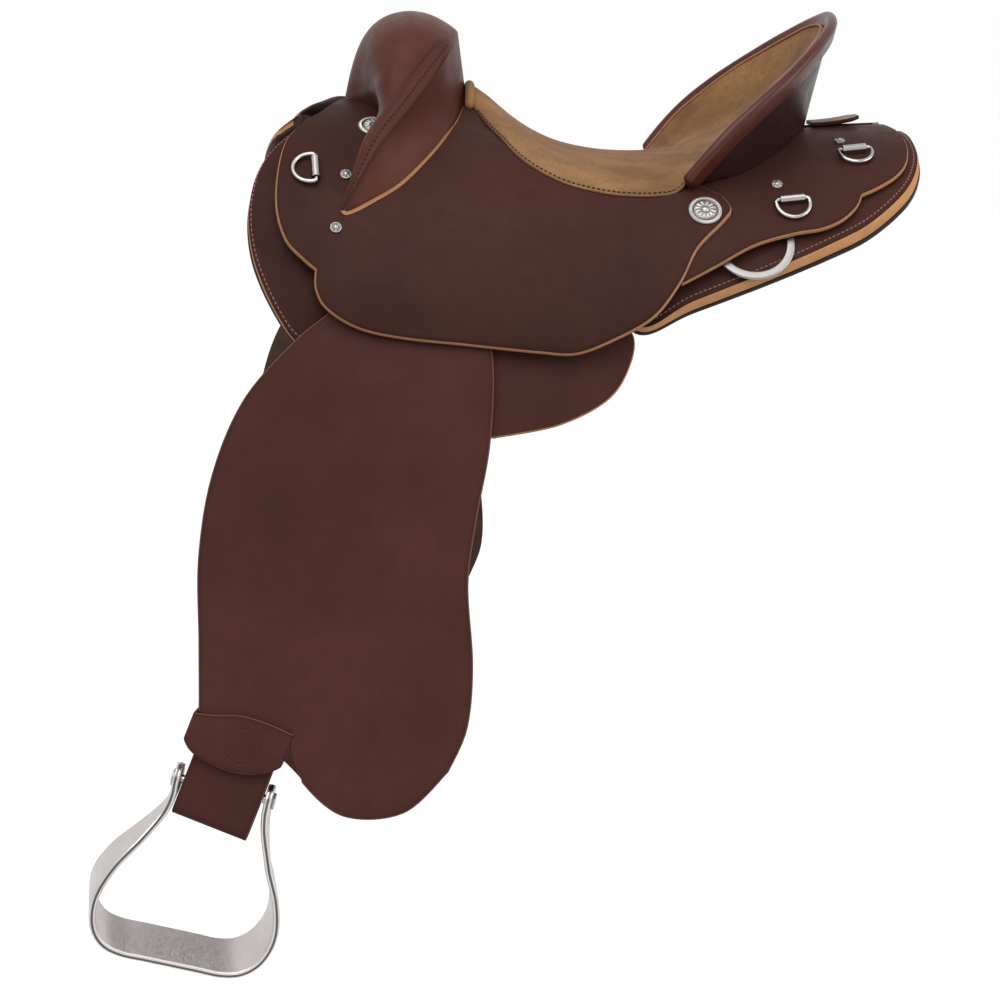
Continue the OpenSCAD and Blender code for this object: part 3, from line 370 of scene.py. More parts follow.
def on_seat(u, v):
    """Point of the seat's face: u runs from front to cantle and v from left to right; across, the
    surface rises from the middle line to the edge as a power of v."""
    c = curve(SEAT_MIDDLE, u / SEAT_ROWS)
    e = curve(seat_edge(), u / SEAT_ROWS)
    w = np.abs(v)
    x = c[..., 0] + (e[..., 0] - c[..., 0]) * w**2
    height = c[..., 2] + (e[..., 2] - c[..., 2]) * w**SEAT_DISH
    return np.stack((x, e[..., 1] * v, height), -1)


def cantle_lines(t, z):
    """The cantle's rim and the foot of its back at t, from -1 to 1 over the cantle."""
    foot = on_side(np.array(CANTLE_FOOT, float), rear_offset(z) + CANTLE_LIFT)
    return over(RIM, t), over(foot, t)


def normals(grid):
    """Normals of a grid, from its steps along both ways."""
    return unit(np.cross(np.gradient(grid, axis=0), np.gradient(grid, axis=1)))


def hills(points, height):
    """Shallow unevenness of a hide: the product of two slow waves, from 0 to the height."""
    x, y, z = points[..., 0], points[..., 1], points[..., 2]
    a, b, c, d = HIDE_WAVES
    return height * 0.5 * (1 + np.sin(x / a + y / b + HIDE_SHIFT) * np.sin(z / c + y / d))


def smoothed(line):
    """A closed row of vectors averaged with its neighbours, twice."""
    for _ in range(2):
        line = (np.roll(line, 1, 0) + 2 * line + np.roll(line, -1, 0)) / 4
    return line


# Skins: points with four-sided faces, a part number for each face and a distance from the edge


def edge_distance(grid):
    """Shortest way from each grid point to the grid's border along its row or column."""
    ways = []
    for axis in (0, 1):
        step = np.linalg.norm(np.diff(grid, axis=axis), axis=-1)
        pad = [(0, 0), (0, 0)]
        pad[axis] = (1, 0)
        run = np.pad(np.cumsum(step, axis=axis), pad)
        ways += [run, np.take(run, [-1], axis=axis) - run]
    return np.min(ways, axis=0)


def grid_quads(n, m, round_n=False, round_m=False):
    """Faces of a grid of n by m points, closed along either way if it is round."""
    i = np.arange(n if round_n else n - 1)[:, None]
    j = np.arange(m if round_m else m - 1)[None, :]
    i2, j2 = (i + 1) % n, (j + 1) % m
    return np.stack((i * m + j, i * m + j2, i2 * m + j2, i2 * m + j), -1).reshape(-1, 4)


def outwards(skin):
    """The skin with its faces turned outwards: the volume that they enclose is made positive."""
    a, b, c, d = (skin.points[skin.quads[:, k]] for k in range(4))
    volume = (np.einsum("ij,ij->i", a, np.cross(b, c)) + np.einsum("ij,ij->i", a, np.cross(c, d))).sum()
    return skin if volume > 0 else skin._replace(quads=skin.quads[:, ::-1])


def surface(grid, part=0, round_n=False, round_m=False):
    """A grid of points as a closed skin of one part, or with a part for each column."""
    n, m = grid.shape[:2]
    quads = grid_quads(n, m, round_n, round_m)
    return outwards(Skin(grid.reshape(-1, 3), quads, np.resize(part, len(quads)), np.zeros(n * m)))


def stacked(*skins):
    """Several skins as one."""
    starts = np.cumsum([0] + [len(s.points) for s in skins[:-1]])
    return Skin(np.concatenate([s.points for s in skins]),
                np.concatenate([s.quads + k for s, k in zip(skins, starts)]),
                np.concatenate([s.parts for s in skins]), np.concatenate([s.rim for s in skins]))


def mirrored(skin, sign):
    """The skin on the left or, mirrored, on the right side of the centre plane."""
    return outwards(skin._replace(points=skin.points * (1, sign, 1)))


# Cut edge from the face to the underside: share of the thickness and share of the bulge
EDGE_ROWS = np.array(((0.1, 0.7), (0.26, 1.0), (0.5, 1.05), (0.74, 1.0), (0.9, 0.7)))


def edge_rows(face, under, out, bulge, slant):
    """Rows of a cut edge: straight from the face to the underside, bulged outwards, and reaching
    further out towards the underside by the slant."""
    s, b = EDGE_ROWS[:, :1, None], EDGE_ROWS[:, 1:, None]
    return face + (under - face) * s + out * (bulge * b + slant * s)


def wall_quads(ids):
    """Faces between rows of point numbers that run round a closed edge."""
    after = np.roll(ids, -1, 1)
    return np.stack((ids[:-1], after[:-1], after[1:], ids[1:]), -1).reshape(-1, 4)


def sheet(face, under, bulge=0.7, slant=0.0, plain=False):
    """A closed sheet of leather between two grids, with a rounded cut edge all round. Part 0 is the
    face and the plain faces of the edge, 1 the cut edge and 2 the underside."""
    n, m = face.shape[0] - 1, face.shape[1] - 1
    up, across = np.arange(n), np.arange(m)
    i = np.concatenate((up, np.full(m, n), n - up, np.zeros(m, int)))
    j = np.concatenate((np.zeros(n, int), across, np.full(n, m), m - across))
    t = face[i, j]
    inner = face[np.clip(i, 1, n - 1), np.clip(j, 1, m - 1)]
    out = unit(np.cross(np.roll(t, -1, 0) - np.roll(t, 1, 0), t - under[i, j]))
    out *= np.sign(np.sum((t - inner) * out, -1, keepdims=True) + 1e-12)
    out = unit(smoothed(out))
    slant = np.broadcast_to(slant, len(i))[:, None]
    low = under[i, j] + out * slant
    under = under.copy()
    under[i, j] = low
    rows = edge_rows(t, low - out * slant, out, bulge, slant)
    count, loop, depth = (n + 1) * (m + 1), len(i), len(EDGE_ROWS)
    ring = i * (m + 1) + j
    inside = 2 * count + np.arange(depth * loop).reshape(depth, loop)
    wall = wall_quads(np.concatenate((ring[None], inside, ring[None] + count)))
    top = grid_quads(n + 1, m + 1)
    quads = np.concatenate((top, wall, top[:, ::-1] + count))
    cut = np.where(np.broadcast_to(plain, (depth + 1, loop)).ravel(), 0, 1)
    parts = np.concatenate((np.repeat(0, len(top)), cut, np.repeat(2, len(top))))
    rim = np.concatenate((edge_distance(face).ravel(), np.zeros(count + depth * loop)))
    points = np.concatenate([grid.reshape(-1, 3) for grid in (face, under, rows)])
    return outwards(Skin(points, quads, parts, rim))


def band(face, under, bulge=0.6):
    """A closed ring of leather between two grids that are round along their first way, with a rounded
    cut edge at both borders. Parts are those of a sheet."""
    n, m = face.shape[0], face.shape[1] - 1
    count, depth = n * (m + 1), len(EDGE_ROWS)
    points, quads = [face.reshape(-1, 3), under.reshape(-1, 3)], []
    for k, (border, inner) in enumerate(((0, 1), (m, m - 1))):
        out = unit(face[:, border] - face[:, inner])
        points.append(edge_rows(face[:, border], under[:, border], out, bulge, 0.0).reshape(-1, 3))
        ring = np.arange(n) * (m + 1) + border
        rows = 2 * count + k * depth * n + np.arange(depth * n).reshape(depth, n)
        wall = wall_quads(np.concatenate((ring[None], rows, ring[None] + count)))
        quads.append(wall if k == 0 else wall[:, ::-1])
    top = grid_quads(n, m + 1, round_n=True)
    walls = np.concatenate(quads)
    rim = np.zeros(2 * count + 2 * depth * n)
    run = np.pad(np.cumsum(np.linalg.norm(np.diff(face, axis=1), axis=-1), axis=1), ((0, 0), (1, 0)))
    rim[:count] = np.minimum(run, run[:, -1:] - run).ravel()
    parts = np.repeat((0, 1, 2), (len(top), len(walls), len(top)))
    quads = np.concatenate((top, walls, top[:, ::-1] + count))
    return outwards(Skin(np.concatenate(points), quads, parts, rim))


def frames_along(path, up, closed=False):
    """Tangent, side and lift of a path: the side is square to the tangent and to the up vector."""
    tangent = np.roll(path, -1, 0) - np.roll(path, 1, 0) if closed else np.gradient(path, axis=0)
    tangent = unit(tangent)
    side = unit(np.cross(tangent, np.asarray(up, float)))
    return tangent, side, np.cross(side, tangent)


def tube(path, radius, sides, up, closed=False, part=0):
    """A round tube: circles carried along the path; an open one ends in half spheres."""
    path = np.asarray(path, float)
    radius = np.broadcast_to(np.asarray(radius, float), (len(path),))
    tangent, side, lift = frames_along(path, up, closed)
    if not closed:
        turn = np.radians((90, 60, 30))
        ends = []
        for k, sign, order in ((0, -1, slice(None)), (-1, 1, slice(None, None, -1))):
            a = turn[order][:, None]
            ends.append((path[k] + sign * tangent[k] * radius[k] * np.sin(a), radius[k] * np.cos(a[:, 0]),
                         np.repeat(side[k][None], 3, 0), np.repeat(lift[k][None], 3, 0)))
        first, last = ends
        path = np.concatenate((first[0], path, last[0]))
        radius = np.concatenate((first[1], radius, last[1]))
        side = np.concatenate((first[2], side, last[2]))
        lift = np.concatenate((first[3], lift, last[3]))
    a = np.linspace(0, 2 * np.pi, sides, endpoint=False)[None, :, None]
    ring = np.cos(a) * side[:, None] + np.sin(a) * lift[:, None]
    return surface(path[:, None] + radius[:, None, None] * ring, part, closed, True)


def rounded_box(w, h, r, steps=5):
    """Outline of a box with round corners, one for each width: quarter circles at its corners."""
    w = np.atleast_1d(np.asarray(w, float))[:, None]
    r = np.minimum(r, w / 2 - 0.05)
    a = np.concatenate([np.linspace(k, k + 1, steps) for k in range(4)]) * np.pi / 2
    sx = np.repeat((1, -1, -1, 1), steps)
    sy = np.repeat((1, 1, -1, -1), steps)
    return np.stack((sx * (w / 2 - r) + r * np.cos(a), sy * (h / 2 - r) + r * np.sin(a)), -1)


def carried(profile, path, side, lift):
    """Closed profiles carried along a path, each on its own side and lift vectors."""
    return path[:, None] + profile[..., :1] * side[:, None] + profile[..., 1:] * lift[:, None]


def capped(grid):
    """A grid of rings with its two ends drawn together to their middles."""
    first, last = grid[:1].mean(1, keepdims=True), grid[-1:].mean(1, keepdims=True)
    ring = np.ones((1, grid.shape[1], 1))
    return np.concatenate((first * ring, grid, last * ring))


def lathe(profile, sides):
    """A profile of (radius, height) points turned round the Z axis."""
    a = np.linspace(0, 2 * np.pi, sides, endpoint=False)
    r, h = np.asarray(profile, float).T
    grid = np.stack((r[:, None] * np.cos(a), r[:, None] * np.sin(a), np.repeat(h[:, None], sides, 1)), -1)
    return surface(grid, round_m=True)


# Places: a turn and an origin in millimetres


def turn(axis, angle):
    """Matrix that turns by an angle about X, Y or Z."""
    return np.array(Matrix.Rotation(angle, 3, axis))


def put(skin, rotation, origin):
    """The skin turned and moved to its place."""
    return skin._replace(points=skin.points @ rotation.T + origin)


def leather_frame(side):
    """Place of a fender on its stud, as on the left side: leaned with the stud, swung forward to rest."""
    swing, foot = JOINTS["fender_swing_" + side], JOINTS["stirrup_turn_" + side]
    left = np.array((1, 1 if side == "left" else -1, 1))
    origin = np.array(swing["pos_m"]) * left / MM
    lean = math.atan2(abs(swing["axis"][2]), abs(swing["axis"][1]))
    tilt = turn("X", lean)
    reach = tilt.T @ (np.array(foot["pos_m"]) * left / MM - origin)
    rest = math.atan2(reach[0], -reach[2])
    return tilt @ turn("Y", -rest), origin, lean, math.hypot(reach[0], reach[2])


def hanger_frame(side):
    """Place of a sweat flap on the stud, as on the left side."""
    _, origin, lean, _ = leather_frame(side)
    return turn("X", lean), origin


def roller_reach(z):
    """Inner radius of the fold of a stirrup leather, which leaves its roller free to turn."""
    return z.roller_d / 2 + ROLLER_GAP


def strap_gap(up, z):
    """Gap between the two layers of a stirrup leather, which close at a height above the bolt."""
    return LAYER_GAP + (2 * roller_reach(z) - LAYER_GAP) * ease((STRAP_CLOSED - up) / STRAP_CLOSING)


def loop_frame(side, z):
    """Place of the straight lower part of a stirrup leather, with the distance down to the bolt."""
    rotation, origin, _, reach = leather_frame(side)
    off = -z.fender_t - STITCH_GAP
    start = origin + rotation @ np.array((0, off - float(flare(BEND_END)), -BEND_END))
    bolt_y = -z.strap_t - roller_reach(z)
    down = (reach - BEND_END - bolt_y * math.sin(FLARE_ANGLE)) / math.cos(FLARE_ANGLE)
    return rotation @ turn("X", -FLARE_ANGLE), start, down, bolt_y


def bolt_frame(side, z):
    """Place of a stirrup bolt, along local X, and the turn that lets its stirrup hang straight."""
    rotation, start, down, bolt_y = loop_frame(side, z)
    lean = leather_frame(side)[2]
    axis_turn = rotation @ turn("Y", z.bolt_skew)
    return axis_turn, start + rotation @ np.array((0, bolt_y, -down)), turn("X", FLARE_ANGLE - lean)


def fitting_frame(spot, off, yaw):
    """Place of a fitting on the leather: X forward, Y down the slope and Z outwards."""
    p = np.array(spot, float)
    ahead = on_side(p + (1, 0), 0.0) - on_side(p - (1, 0), 0.0)
    down = on_side(p + (0, 1), 0.0) - on_side(p - (0, 1), 0.0)
    n = unit(np.cross(ahead, down))
    rotation = turn("Y", math.atan2(n[0], n[2])) @ turn("X", -math.asin(n[1])) @ turn("Z", math.radians(yaw))
    return rotation, on_side(p, 0.0) + off * n


# Pieces


def in_mm(context):
    """The sizes of the panel in millimetres, and its angles in radians."""
    group = context.scene.saddle_sizes
    angles = ("bolt_skew",)
    return SimpleNamespace(**{key: getattr(group, key) / (1 if key in angles else MM)
                              for key in group.__annotations__})


def piece(name, skin, materials, body, replaces=(), slot=None, weld=False, crease=38):
    """Makes a mesh object of a skin, with one material for each part, and sets it on its body."""
    mesh = bpy.data.meshes.new(name)
    mesh.vertices.add(len(skin.points))
    mesh.vertices.foreach_set("co", (skin.points * MM).astype(np.float32).ravel())
    mesh.loops.add(skin.quads.size)
    mesh.loops.foreach_set("vertex_index", skin.quads.astype(np.int32).ravel())
    mesh.polygons.add(len(skin.quads))
    mesh.polygons.foreach_set("loop_start", np.arange(0, skin.quads.size, 4, dtype=np.int32))
    mesh.polygons.foreach_set("material_index", skin.parts.astype(np.int32))
    mesh.update(calc_edges=True)
    attribute = mesh.attributes.new("rim", "FLOAT", "POINT")
    attribute.data.foreach_set("value", (skin.rim * MM).astype(np.float32))
    if weld:
        work = bmesh.new()
        work.from_mesh(mesh)
        bmesh.ops.remove_doubles(work, verts=work.verts, dist=1e-6)
        work.to_mesh(mesh)
        work.free()
    mesh.polygons.foreach_set("use_smooth", np.ones(len(mesh.polygons), bool))
    mesh.set_sharp_from_angle(angle=math.radians(crease))
    for material in materials:
        mesh.materials.append(material)
    obj = bpy.data.objects.new(name, mesh)
    bpy.context.scene.collection.objects.link(obj)
    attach(obj, body)
    if replaces:
        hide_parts(*replaces)
    return obj


def pair(name, skin, materials, replaces, slot, body="saddle", place=None, **how):
    """A piece on each side: put in its place as on the left, and mirrored for the right. The names of the
    replaced node and of the body hold braces where the side's name goes."""
    made = []
    for side, sign in SIDES:
        there = put(skin, *place(side)) if place else skin
        made.append(piece("%s_%s" % (name, side), mirrored(there, sign), materials, body.format(side),
                          (replaces.format(side),), slot, **how))
    return made


def edge_columns(grid):
    """Numbers of the points round a grid's edge."""
    return np.arange(2 * (grid.shape[0] + grid.shape[1] - 2))


def raised(grid, height=0.4):
    """A leather face with the shallow hills of its hide."""
    return grid + normals(grid) * hills(grid, height)[..., None]


def laid(pattern, face_off, thickness, height=0.4):
    """Face and underside of a leather on the side curve, at its offset and thickness."""
    face = on_side(pattern, face_off)
    return face + unit(face - on_side(pattern, face_off - 1)) * hills(face, height)[..., None], \
        on_side(pattern, face_off - thickness)


def span(top, low):
    """Distances between two edges of a pattern on the side curve."""
    return np.linalg.norm(on_side(low, 0.0) - on_side(top, 0.0), axis=-1)


def skirt_edges(z):
    """Top, low and face edges of the skirt: behind the seat the face stays back from the underside."""
    top, low = outline(SKIRT_TOP), outline(SKIRT_LOW)
    behind = ease((SLANT_START - low[:, 0]) / SLANT_RUN)
    reach = z.skirt_slant * behind * ease((low[:, 1] - SLANT_TOP) / SLANT_FADE)
    return top, low, low + (top - low) * (reach / np.maximum(span(top, low), NARROWEST))[:, None]


# Materials


def feed(made, **sockets):
    """Sets or links a node's inputs by name; a number after an underscore is an input's place."""
    for key, value in sockets.items():
        socket = made.inputs[int(key[1:]) if key[0] == "_" else key.replace("_", " ")]
        if isinstance(value, bpy.types.NodeSocket):
            made.id_data.links.new(value, socket)
        else:
            socket.default_value = value


def node(tree, kind, **sockets):
    """A new node with its inputs set or linked."""
    made = tree.nodes.new(kind)
    feed(made, **sockets)
    return made


def blank(name):
    """A new material with its node tree, shader and object coordinates."""
    material = bpy.data.materials.new(name)
    material.use_nodes = True
    tree = material.node_tree
    shader = tree.nodes["Principled BSDF"]
    place = tree.nodes.new("ShaderNodeTexCoord").outputs["Object"]
    return material, tree, shader, place


def noise(tree, place, scale, detail=3.0, rough=0.55):
    """Noise at a scale, in features for each metre."""
    made = node(tree, "ShaderNodeTexNoise", Vector=place, Scale=scale, Detail=detail, Roughness=rough)
    return made.outputs["Fac"]


def spread(tree, value, low, high, start=0.3, end=0.7):
    """A value carried from one range to another."""
    made = node(tree, "ShaderNodeMapRange", Value=value, From_Min=start, From_Max=end, To_Min=low,
                To_Max=high)
    return made.outputs["Result"]


def mixed(tree, share, a, b):
    """Two colours mixed by a share."""
    made = tree.nodes.new("ShaderNodeMix")
    made.data_type = "RGBA"
    feed(made, _0=share, _6=a, _7=b)
    return made.outputs[2]


def math_node(tree, way, a, b):
    """Two values put through one operation."""
    made = node(tree, "ShaderNodeMath", _0=a, _1=b)
    made.operation = way
    return made.outputs[0]


def rgba(colour, shade=1.0):
    """A colour with its shade and full cover."""
    return tuple(min(1.0, c * shade) for c in colour) + (1.0,)


def bumped(tree, height, strength, distance):
    """Normal of a bump."""
    made = node(tree, "ShaderNodeBump", Height=height, Strength=strength, Distance=distance)
    return made.outputs["Normal"]


def stretched(tree, place, *scale):
    """Coordinates scaled along each axis, so that a pattern is drawn out."""
    return node(tree, "ShaderNodeMapping", Vector=place, Scale=scale).outputs["Vector"]


def rim_value(tree):
    """The skin's rim attribute: distance from the edge of a leather, or the relief of an ornament."""
    made = tree.nodes.new("ShaderNodeAttribute")
    made.attribute_name = "rim"
    return made.outputs["Fac"]


def grain_leather(name, colour, gloss=0.42, specular=0.045):
    """Waxed hide: cloudy colour, fine pores, and a darker burnish at the edge."""
    material, tree, shader, place = blank(name)
    cloud = noise(tree, place, 5.5, 4)
    mottle = noise(tree, place, 75, 4)
    tone = mixed(tree, spread(tree, cloud, 0, 1), rgba(colour, 0.74), rgba(colour, 1.3))
    tone = mixed(tree, spread(tree, mottle, 0, 0.35), tone, rgba(colour, 0.78))
    burnish = spread(tree, rim_value(tree), 0.45, 0.0, 0.0008, 0.0045)
    tone = mixed(tree, burnish, tone, rgba(colour, 0.55))
    pores = node(tree, "ShaderNodeTexVoronoi", Vector=place, Scale=1300.0).outputs["Distance"]
    grain = math_node(tree, "ADD", math_node(tree, "MULTIPLY", pores, 0.5), noise(tree, place, 420, 6, 0.65))
    feed(shader, Base_Color=tone, Normal=bumped(tree, grain, 0.06, 0.0003), Specular_IOR_Level=specular,
         Roughness=spread(tree, mottle, gloss - 0.05, gloss + 0.09))
    return material


def cut_edge(name, colour):
    """Raw cut edge of a hide: tan fibre with stains."""
    material, tree, shader, place = blank(name)
    fibre = noise(tree, place, 900, 4, 0.7)
    stain = noise(tree, place, 90, 4)
    tone = mixed(tree, spread(tree, fibre, 0, 1, 0.35, 0.65), rgba(colour, 0.72), rgba(colour, 1.1))
    tone = mixed(tree, spread(tree, stain, 0, 0.4), tone, rgba(colour, 0.6))
    feed(shader, Base_Color=tone, Normal=bumped(tree, fibre, 0.25, 0.0003), Roughness=0.72,
         Specular_IOR_Level=0.15)
    return material


def napped(name, colour, scale=1.0, depth=0.35):
    """Suede or felt: brushed nap in patches, fine fibre, and a soft sheen."""
    material, tree, shader, place = blank(name)
    brushed = noise(tree, stretched(tree, place, 0.6, 1.0, 1.0), 22 * scale, 6, 0.62)
    fleck = noise(tree, place, 260 * scale, 4, 0.7)
    fibre = noise(tree, place, 1500 * scale, 3, 0.6)
    tone = mixed(tree, spread(tree, brushed, 0, 1, 0.34, 0.66), rgba(colour, 0.6), rgba(colour, 1.2))
    tone = mixed(tree, spread(tree, fleck, 0, 0.55, 0.42, 0.72), tone, rgba(colour, 0.5))
    pile = bumped(tree, math_node(tree, "ADD", fibre, fleck), depth, 0.0006)
    feed(shader, Base_Color=tone, Normal=pile, Roughness=0.95, Specular_IOR_Level=0.08, Sheen_Weight=0.12,
         Sheen_Roughness=0.5)
    return material


def metal(name, colour, rough, brush=0.0, chased=False):
    """Steel with fine scratches, a satin metal brushed across, or a chased one with painted shade in its
    hollows.
    """
    material, tree, shader, place = blank(name)
    lines = noise(tree, stretched(tree, place, 1.0, 0.12, 1.0), 900, 4, 0.6)
    worn = noise(tree, place, 60, 3)
    tone = mixed(tree, spread(tree, worn, 0, 0.6), rgba(colour), rgba(colour, 0.86))
    # Painted shade: the hollows of the chased relief are darkened where shade would fall
    if chased:
        tone = mixed(tree, spread(tree, rim_value(tree), 0.0, 1.0, 0.0, 0.0008), rgba(colour, 0.35), tone)
    feed(shader, Base_Color=tone, Normal=bumped(tree, lines, 0.03 + brush, 0.0002), Metallic=1.0,
         Roughness=spread(tree, lines, rough * 0.8, rough * 1.25))
    return material


def thread(name, colour):
    """Waxed thread with a twist."""
    material, tree, shader, place = blank(name)
    twist = noise(tree, place, 1800, 2)
    tone = mixed(tree, spread(tree, twist, 0, 1), rgba(colour, 0.7), rgba(colour, 1.15))
    feed(shader, Base_Color=tone, Normal=bumped(tree, twist, 0.3, 0.0003), Roughness=0.55,
         Specular_IOR_Level=0.2)
    return material


def timber(name, colour):
    """Plain sealed wood with long grain."""
    material, tree, shader, place = blank(name)
    grain = noise(tree, stretched(tree, place, 0.12, 1.0, 1.0), 160, 6, 0.6)
    tone = mixed(tree, grain, rgba(colour, 0.6), rgba(colour, 1.2))
    feed(shader, Base_Color=tone, Normal=bumped(tree, grain, 0.15, 0.0004), Roughness=0.55)
    return material


# Each finish: how it is made, which colour of the panel it takes, and its other values
FINISHES = {
    "jockey_leather": (grain_leather, "jockey"),
    "fork_leather": (grain_leather, "fork", 0.36, 0.075),
    "fender_leather": (grain_leather, "fender", 0.48, 0.045),
    "rim_leather": (grain_leather, "rim", 0.3, 0.24),
    "cantle_leather": (grain_leather, "cantle", 0.32, 0.12),
    "worn_leather": (napped, "worn", 0.8, 0.25),
    "flesh_side": (napped, "flesh", 0.8, 0.25),
    "cut_edge": (cut_edge, "cut_edge"),
    "dyed_edge": (cut_edge, "dyed_edge"),
    "skirt_edge": (cut_edge, "skirt_edge"),
    "suede": (napped, "suede"),
    "felt": (napped, "felt", 0.7, 0.5),
    "steel": (metal, "steel", 0.24),
    "flat_steel": (metal, "flat_steel", 0.4, 0.02),
    "satin_metal": (metal, "satin_metal", 0.5, 0.02),
    "bright_metal": (metal, "bright_metal", 0.16),
    "dark_metal": (metal, "dark_metal", 0.3),
    "chased_metal": (metal, "steel", 0.42, 0.02, True),
    "dark_thread": (thread, "dark_thread"),
    "red_thread": (thread, "red_thread"),
    "wood": (timber, "wood"),
}
MATERIALS = {}


def finish_of(name):
    """The material of a finish, made once from the panel's colours."""
    if name not in MATERIALS:
        make, colour, *values = FINISHES[name]
        MATERIALS[name] = make(name, getattr(bpy.context.scene.saddle_colours, colour), *values)
    return MATERIALS[name]


def finishes(*names):
    """Materials of several finishes, one for each part of a skin."""
    return [finish_of(name) for name in names]


def leather_set(face, edge="cut_edge"):
    """Materials of a leather's face, cut edge and underside."""
    return finishes(face, edge, "flesh_side")


# Panel values


def length(name, description, default):
    """A length of the panel, in metres."""
    return FloatProperty(name=name, description=description, default=default, unit="LENGTH", min=0.0)


def tint(name, description, default):
    """A colour of the panel."""
    return FloatVectorProperty(name=name, description=description, default=default, size=3,
                               subtype="COLOR", min=0.0, max=1.0)


class SaddleSizes(bpy.types.PropertyGroup):
    """Thicknesses and widths of the saddle's pieces."""

    jockey_t: length("Seat jockey", "Thickness of the seat jockeys", 0.004)
    rear_jockey_t: length("Rear jockey", "Thickness of the rear jockeys", 0.004)
    skirt_t: length("Skirt", "Thickness of the skirts", 0.010)
    skirt_slant: length("Skirt slant", "Reach of the slanted raw edge behind the seat", 0.004)
    lining_t: length("Lining", "Thickness of the felt under the skirts", 0.010)
    lining_inset: length("Lining inset", "How far the felt stays inside the skirt", 0.001)
    flap_t: length("Sweat flap", "Thickness of the sweat flaps", 0.003)
    fender_t: length("Fender", "Thickness of the fenders", 0.0035)
    strap_t: length("Strap", "Thickness of the stirrup leathers", 0.0035)
    strap_w: length("Strap width", "Width of the stirrup leathers", 0.073)
    cover_t: length("Cover", "Thickness of the leather on fork and cantle", 0.003)
    band_t: length("Fork band", "Thickness of the band on the rim of each thigh roll", 0.0025)
    suede_t: length("Suede", "Thickness of the suede on the seat", 0.0025)
    foam_t: length("Foam", "Thickness of the seat's foam at its middle", 0.012)
    binding_d: length("Binding", "Diameter of the roll on the cantle's rim", 0.017)
    piping_d: length("Piping", "Diameter of the piping inside the cantle's rim", 0.0024)
    keeper_t: length("Keeper", "Thickness of the keepers", 0.0025)
    roller_d: length("Roller", "Diameter of the roller on the stirrup bolt", 0.014)
    bolt_d: length("Bolt", "Diameter of the stirrup bolt", 0.009)
    bolt_rise: length("Bolt rise", "Height of the bolt above the fold of the leather", 0.038)
    stirrup_w: length("Stirrup width", "Outer width of the stirrup", 0.178)
    stirrup_h: length("Stirrup height", "Height from the bolt to the bottom of the tread", 0.170)
    stirrup_t: length("Stirrup band", "Thickness of the stirrup's band", 0.0065)
    tread_w: length("Tread", "Width of the tread from front to back", 0.066)
    eye_w: length("Eye", "Width of the stirrup's eyes", 0.030)
    neck_w: length("Neck", "Outer distance over the stirrup's eyes", 0.094)
    dee_r: length("Dee", "Radius of the small dees", 0.016)
    dee_wire: length("Dee wire", "Diameter of the small dees' wire", 0.004)
    clip_d: length("Clip", "Outer diameter of the clips", 0.008)
    clip_l: length("Clip length", "Length of the clips", 0.023)
    rig_r: length("Rigging dee", "Radius of the rigging dees", 0.035)
    rig_bar_w: length("Rigging bow", "Width of the rigging dees' bow", 0.008)
    rig_bar_t: length("Rigging bar", "Thickness of the rigging dees", 0.0036)
    tab_l: length("Tab", "Length of the rigging tabs along their bar", 0.046)
    concho_d: length("Concho", "Diameter of the conchos", 0.032)
    screw_d: length("Screw", "Diameter of the screw heads", 0.0105)
    stitch_pitch: length("Stitch pitch", "Distance between stitches", 0.0048)
    stitch_l: length("Stitch", "Length of a stitch", 0.0036)
    thread_d: length("Thread", "Thickness of the thread", 0.0015)
    bolt_skew: FloatProperty(name="Bolt skew", description="Turn of the bolt against the fold of the leather",
                             default=math.radians(8), subtype="ANGLE")


class SaddleColours(bpy.types.PropertyGroup):
    """Colours of the saddle's finishes."""

    jockey: tint("Jockeys", "Dark brown leather of jockeys and skirts", (0.046, 0.0175, 0.0135))
    fork: tint("Fork", "Reddish brown leather of the fork", (0.085, 0.029, 0.020))
    fender: tint("Fenders", "Brown leather of fenders, straps and keepers", (0.070, 0.0260, 0.0215))
    rim: tint("Cantle rim", "Red brown leather of the cantle's roll", (0.088, 0.020, 0.012))
    cantle: tint("Cantle back", "Dark leather of the cantle's back", (0.030, 0.0105, 0.010))
    worn: tint("Worn leather", "Worn top of the crupper strap", (0.42, 0.33, 0.27))
    flesh: tint("Underside", "Rough underside of the leathers", (0.085, 0.048, 0.035))
    cut_edge: tint("Cut edge", "Raw cut edges of the jockeys", (0.42, 0.20, 0.10))
    dyed_edge: tint("Dyed edge", "Burnished edges of fenders and straps", (0.17, 0.068, 0.048))
    skirt_edge: tint("Skirt edge", "Wide raw edge of the skirts", (0.58, 0.29, 0.125))
    suede: tint("Suede", "Golden brown suede of the seat", (0.275, 0.142, 0.060))
    felt: tint("Felt", "Dark felt under the skirts", (0.035, 0.022, 0.018))
    steel: tint("Steel", "Polished steel of dees and clips", (0.40, 0.38, 0.36))
    flat_steel: tint("Flat steel", "Dull steel of the rigging dees", (0.30, 0.285, 0.27))
    satin_metal: tint("Stirrup metal", "Satin metal of the stirrups", (0.60, 0.56, 0.55))
    bright_metal: tint("Bright metal", "Bright edges and chased fittings", (0.62, 0.60, 0.58))
    dark_metal: tint("Dark metal", "Shaded line of the stirrups' edge", (0.12, 0.11, 0.105))
    dark_thread: tint("Dark thread", "Thread on fork, seat and cantle", (0.028, 0.016, 0.012))
    red_thread: tint("Red thread", "Thread on the skirts", (0.26, 0.11, 0.11))
    wood: tint("Wood", "Timber of the tree", (0.50, 0.33, 0.18))


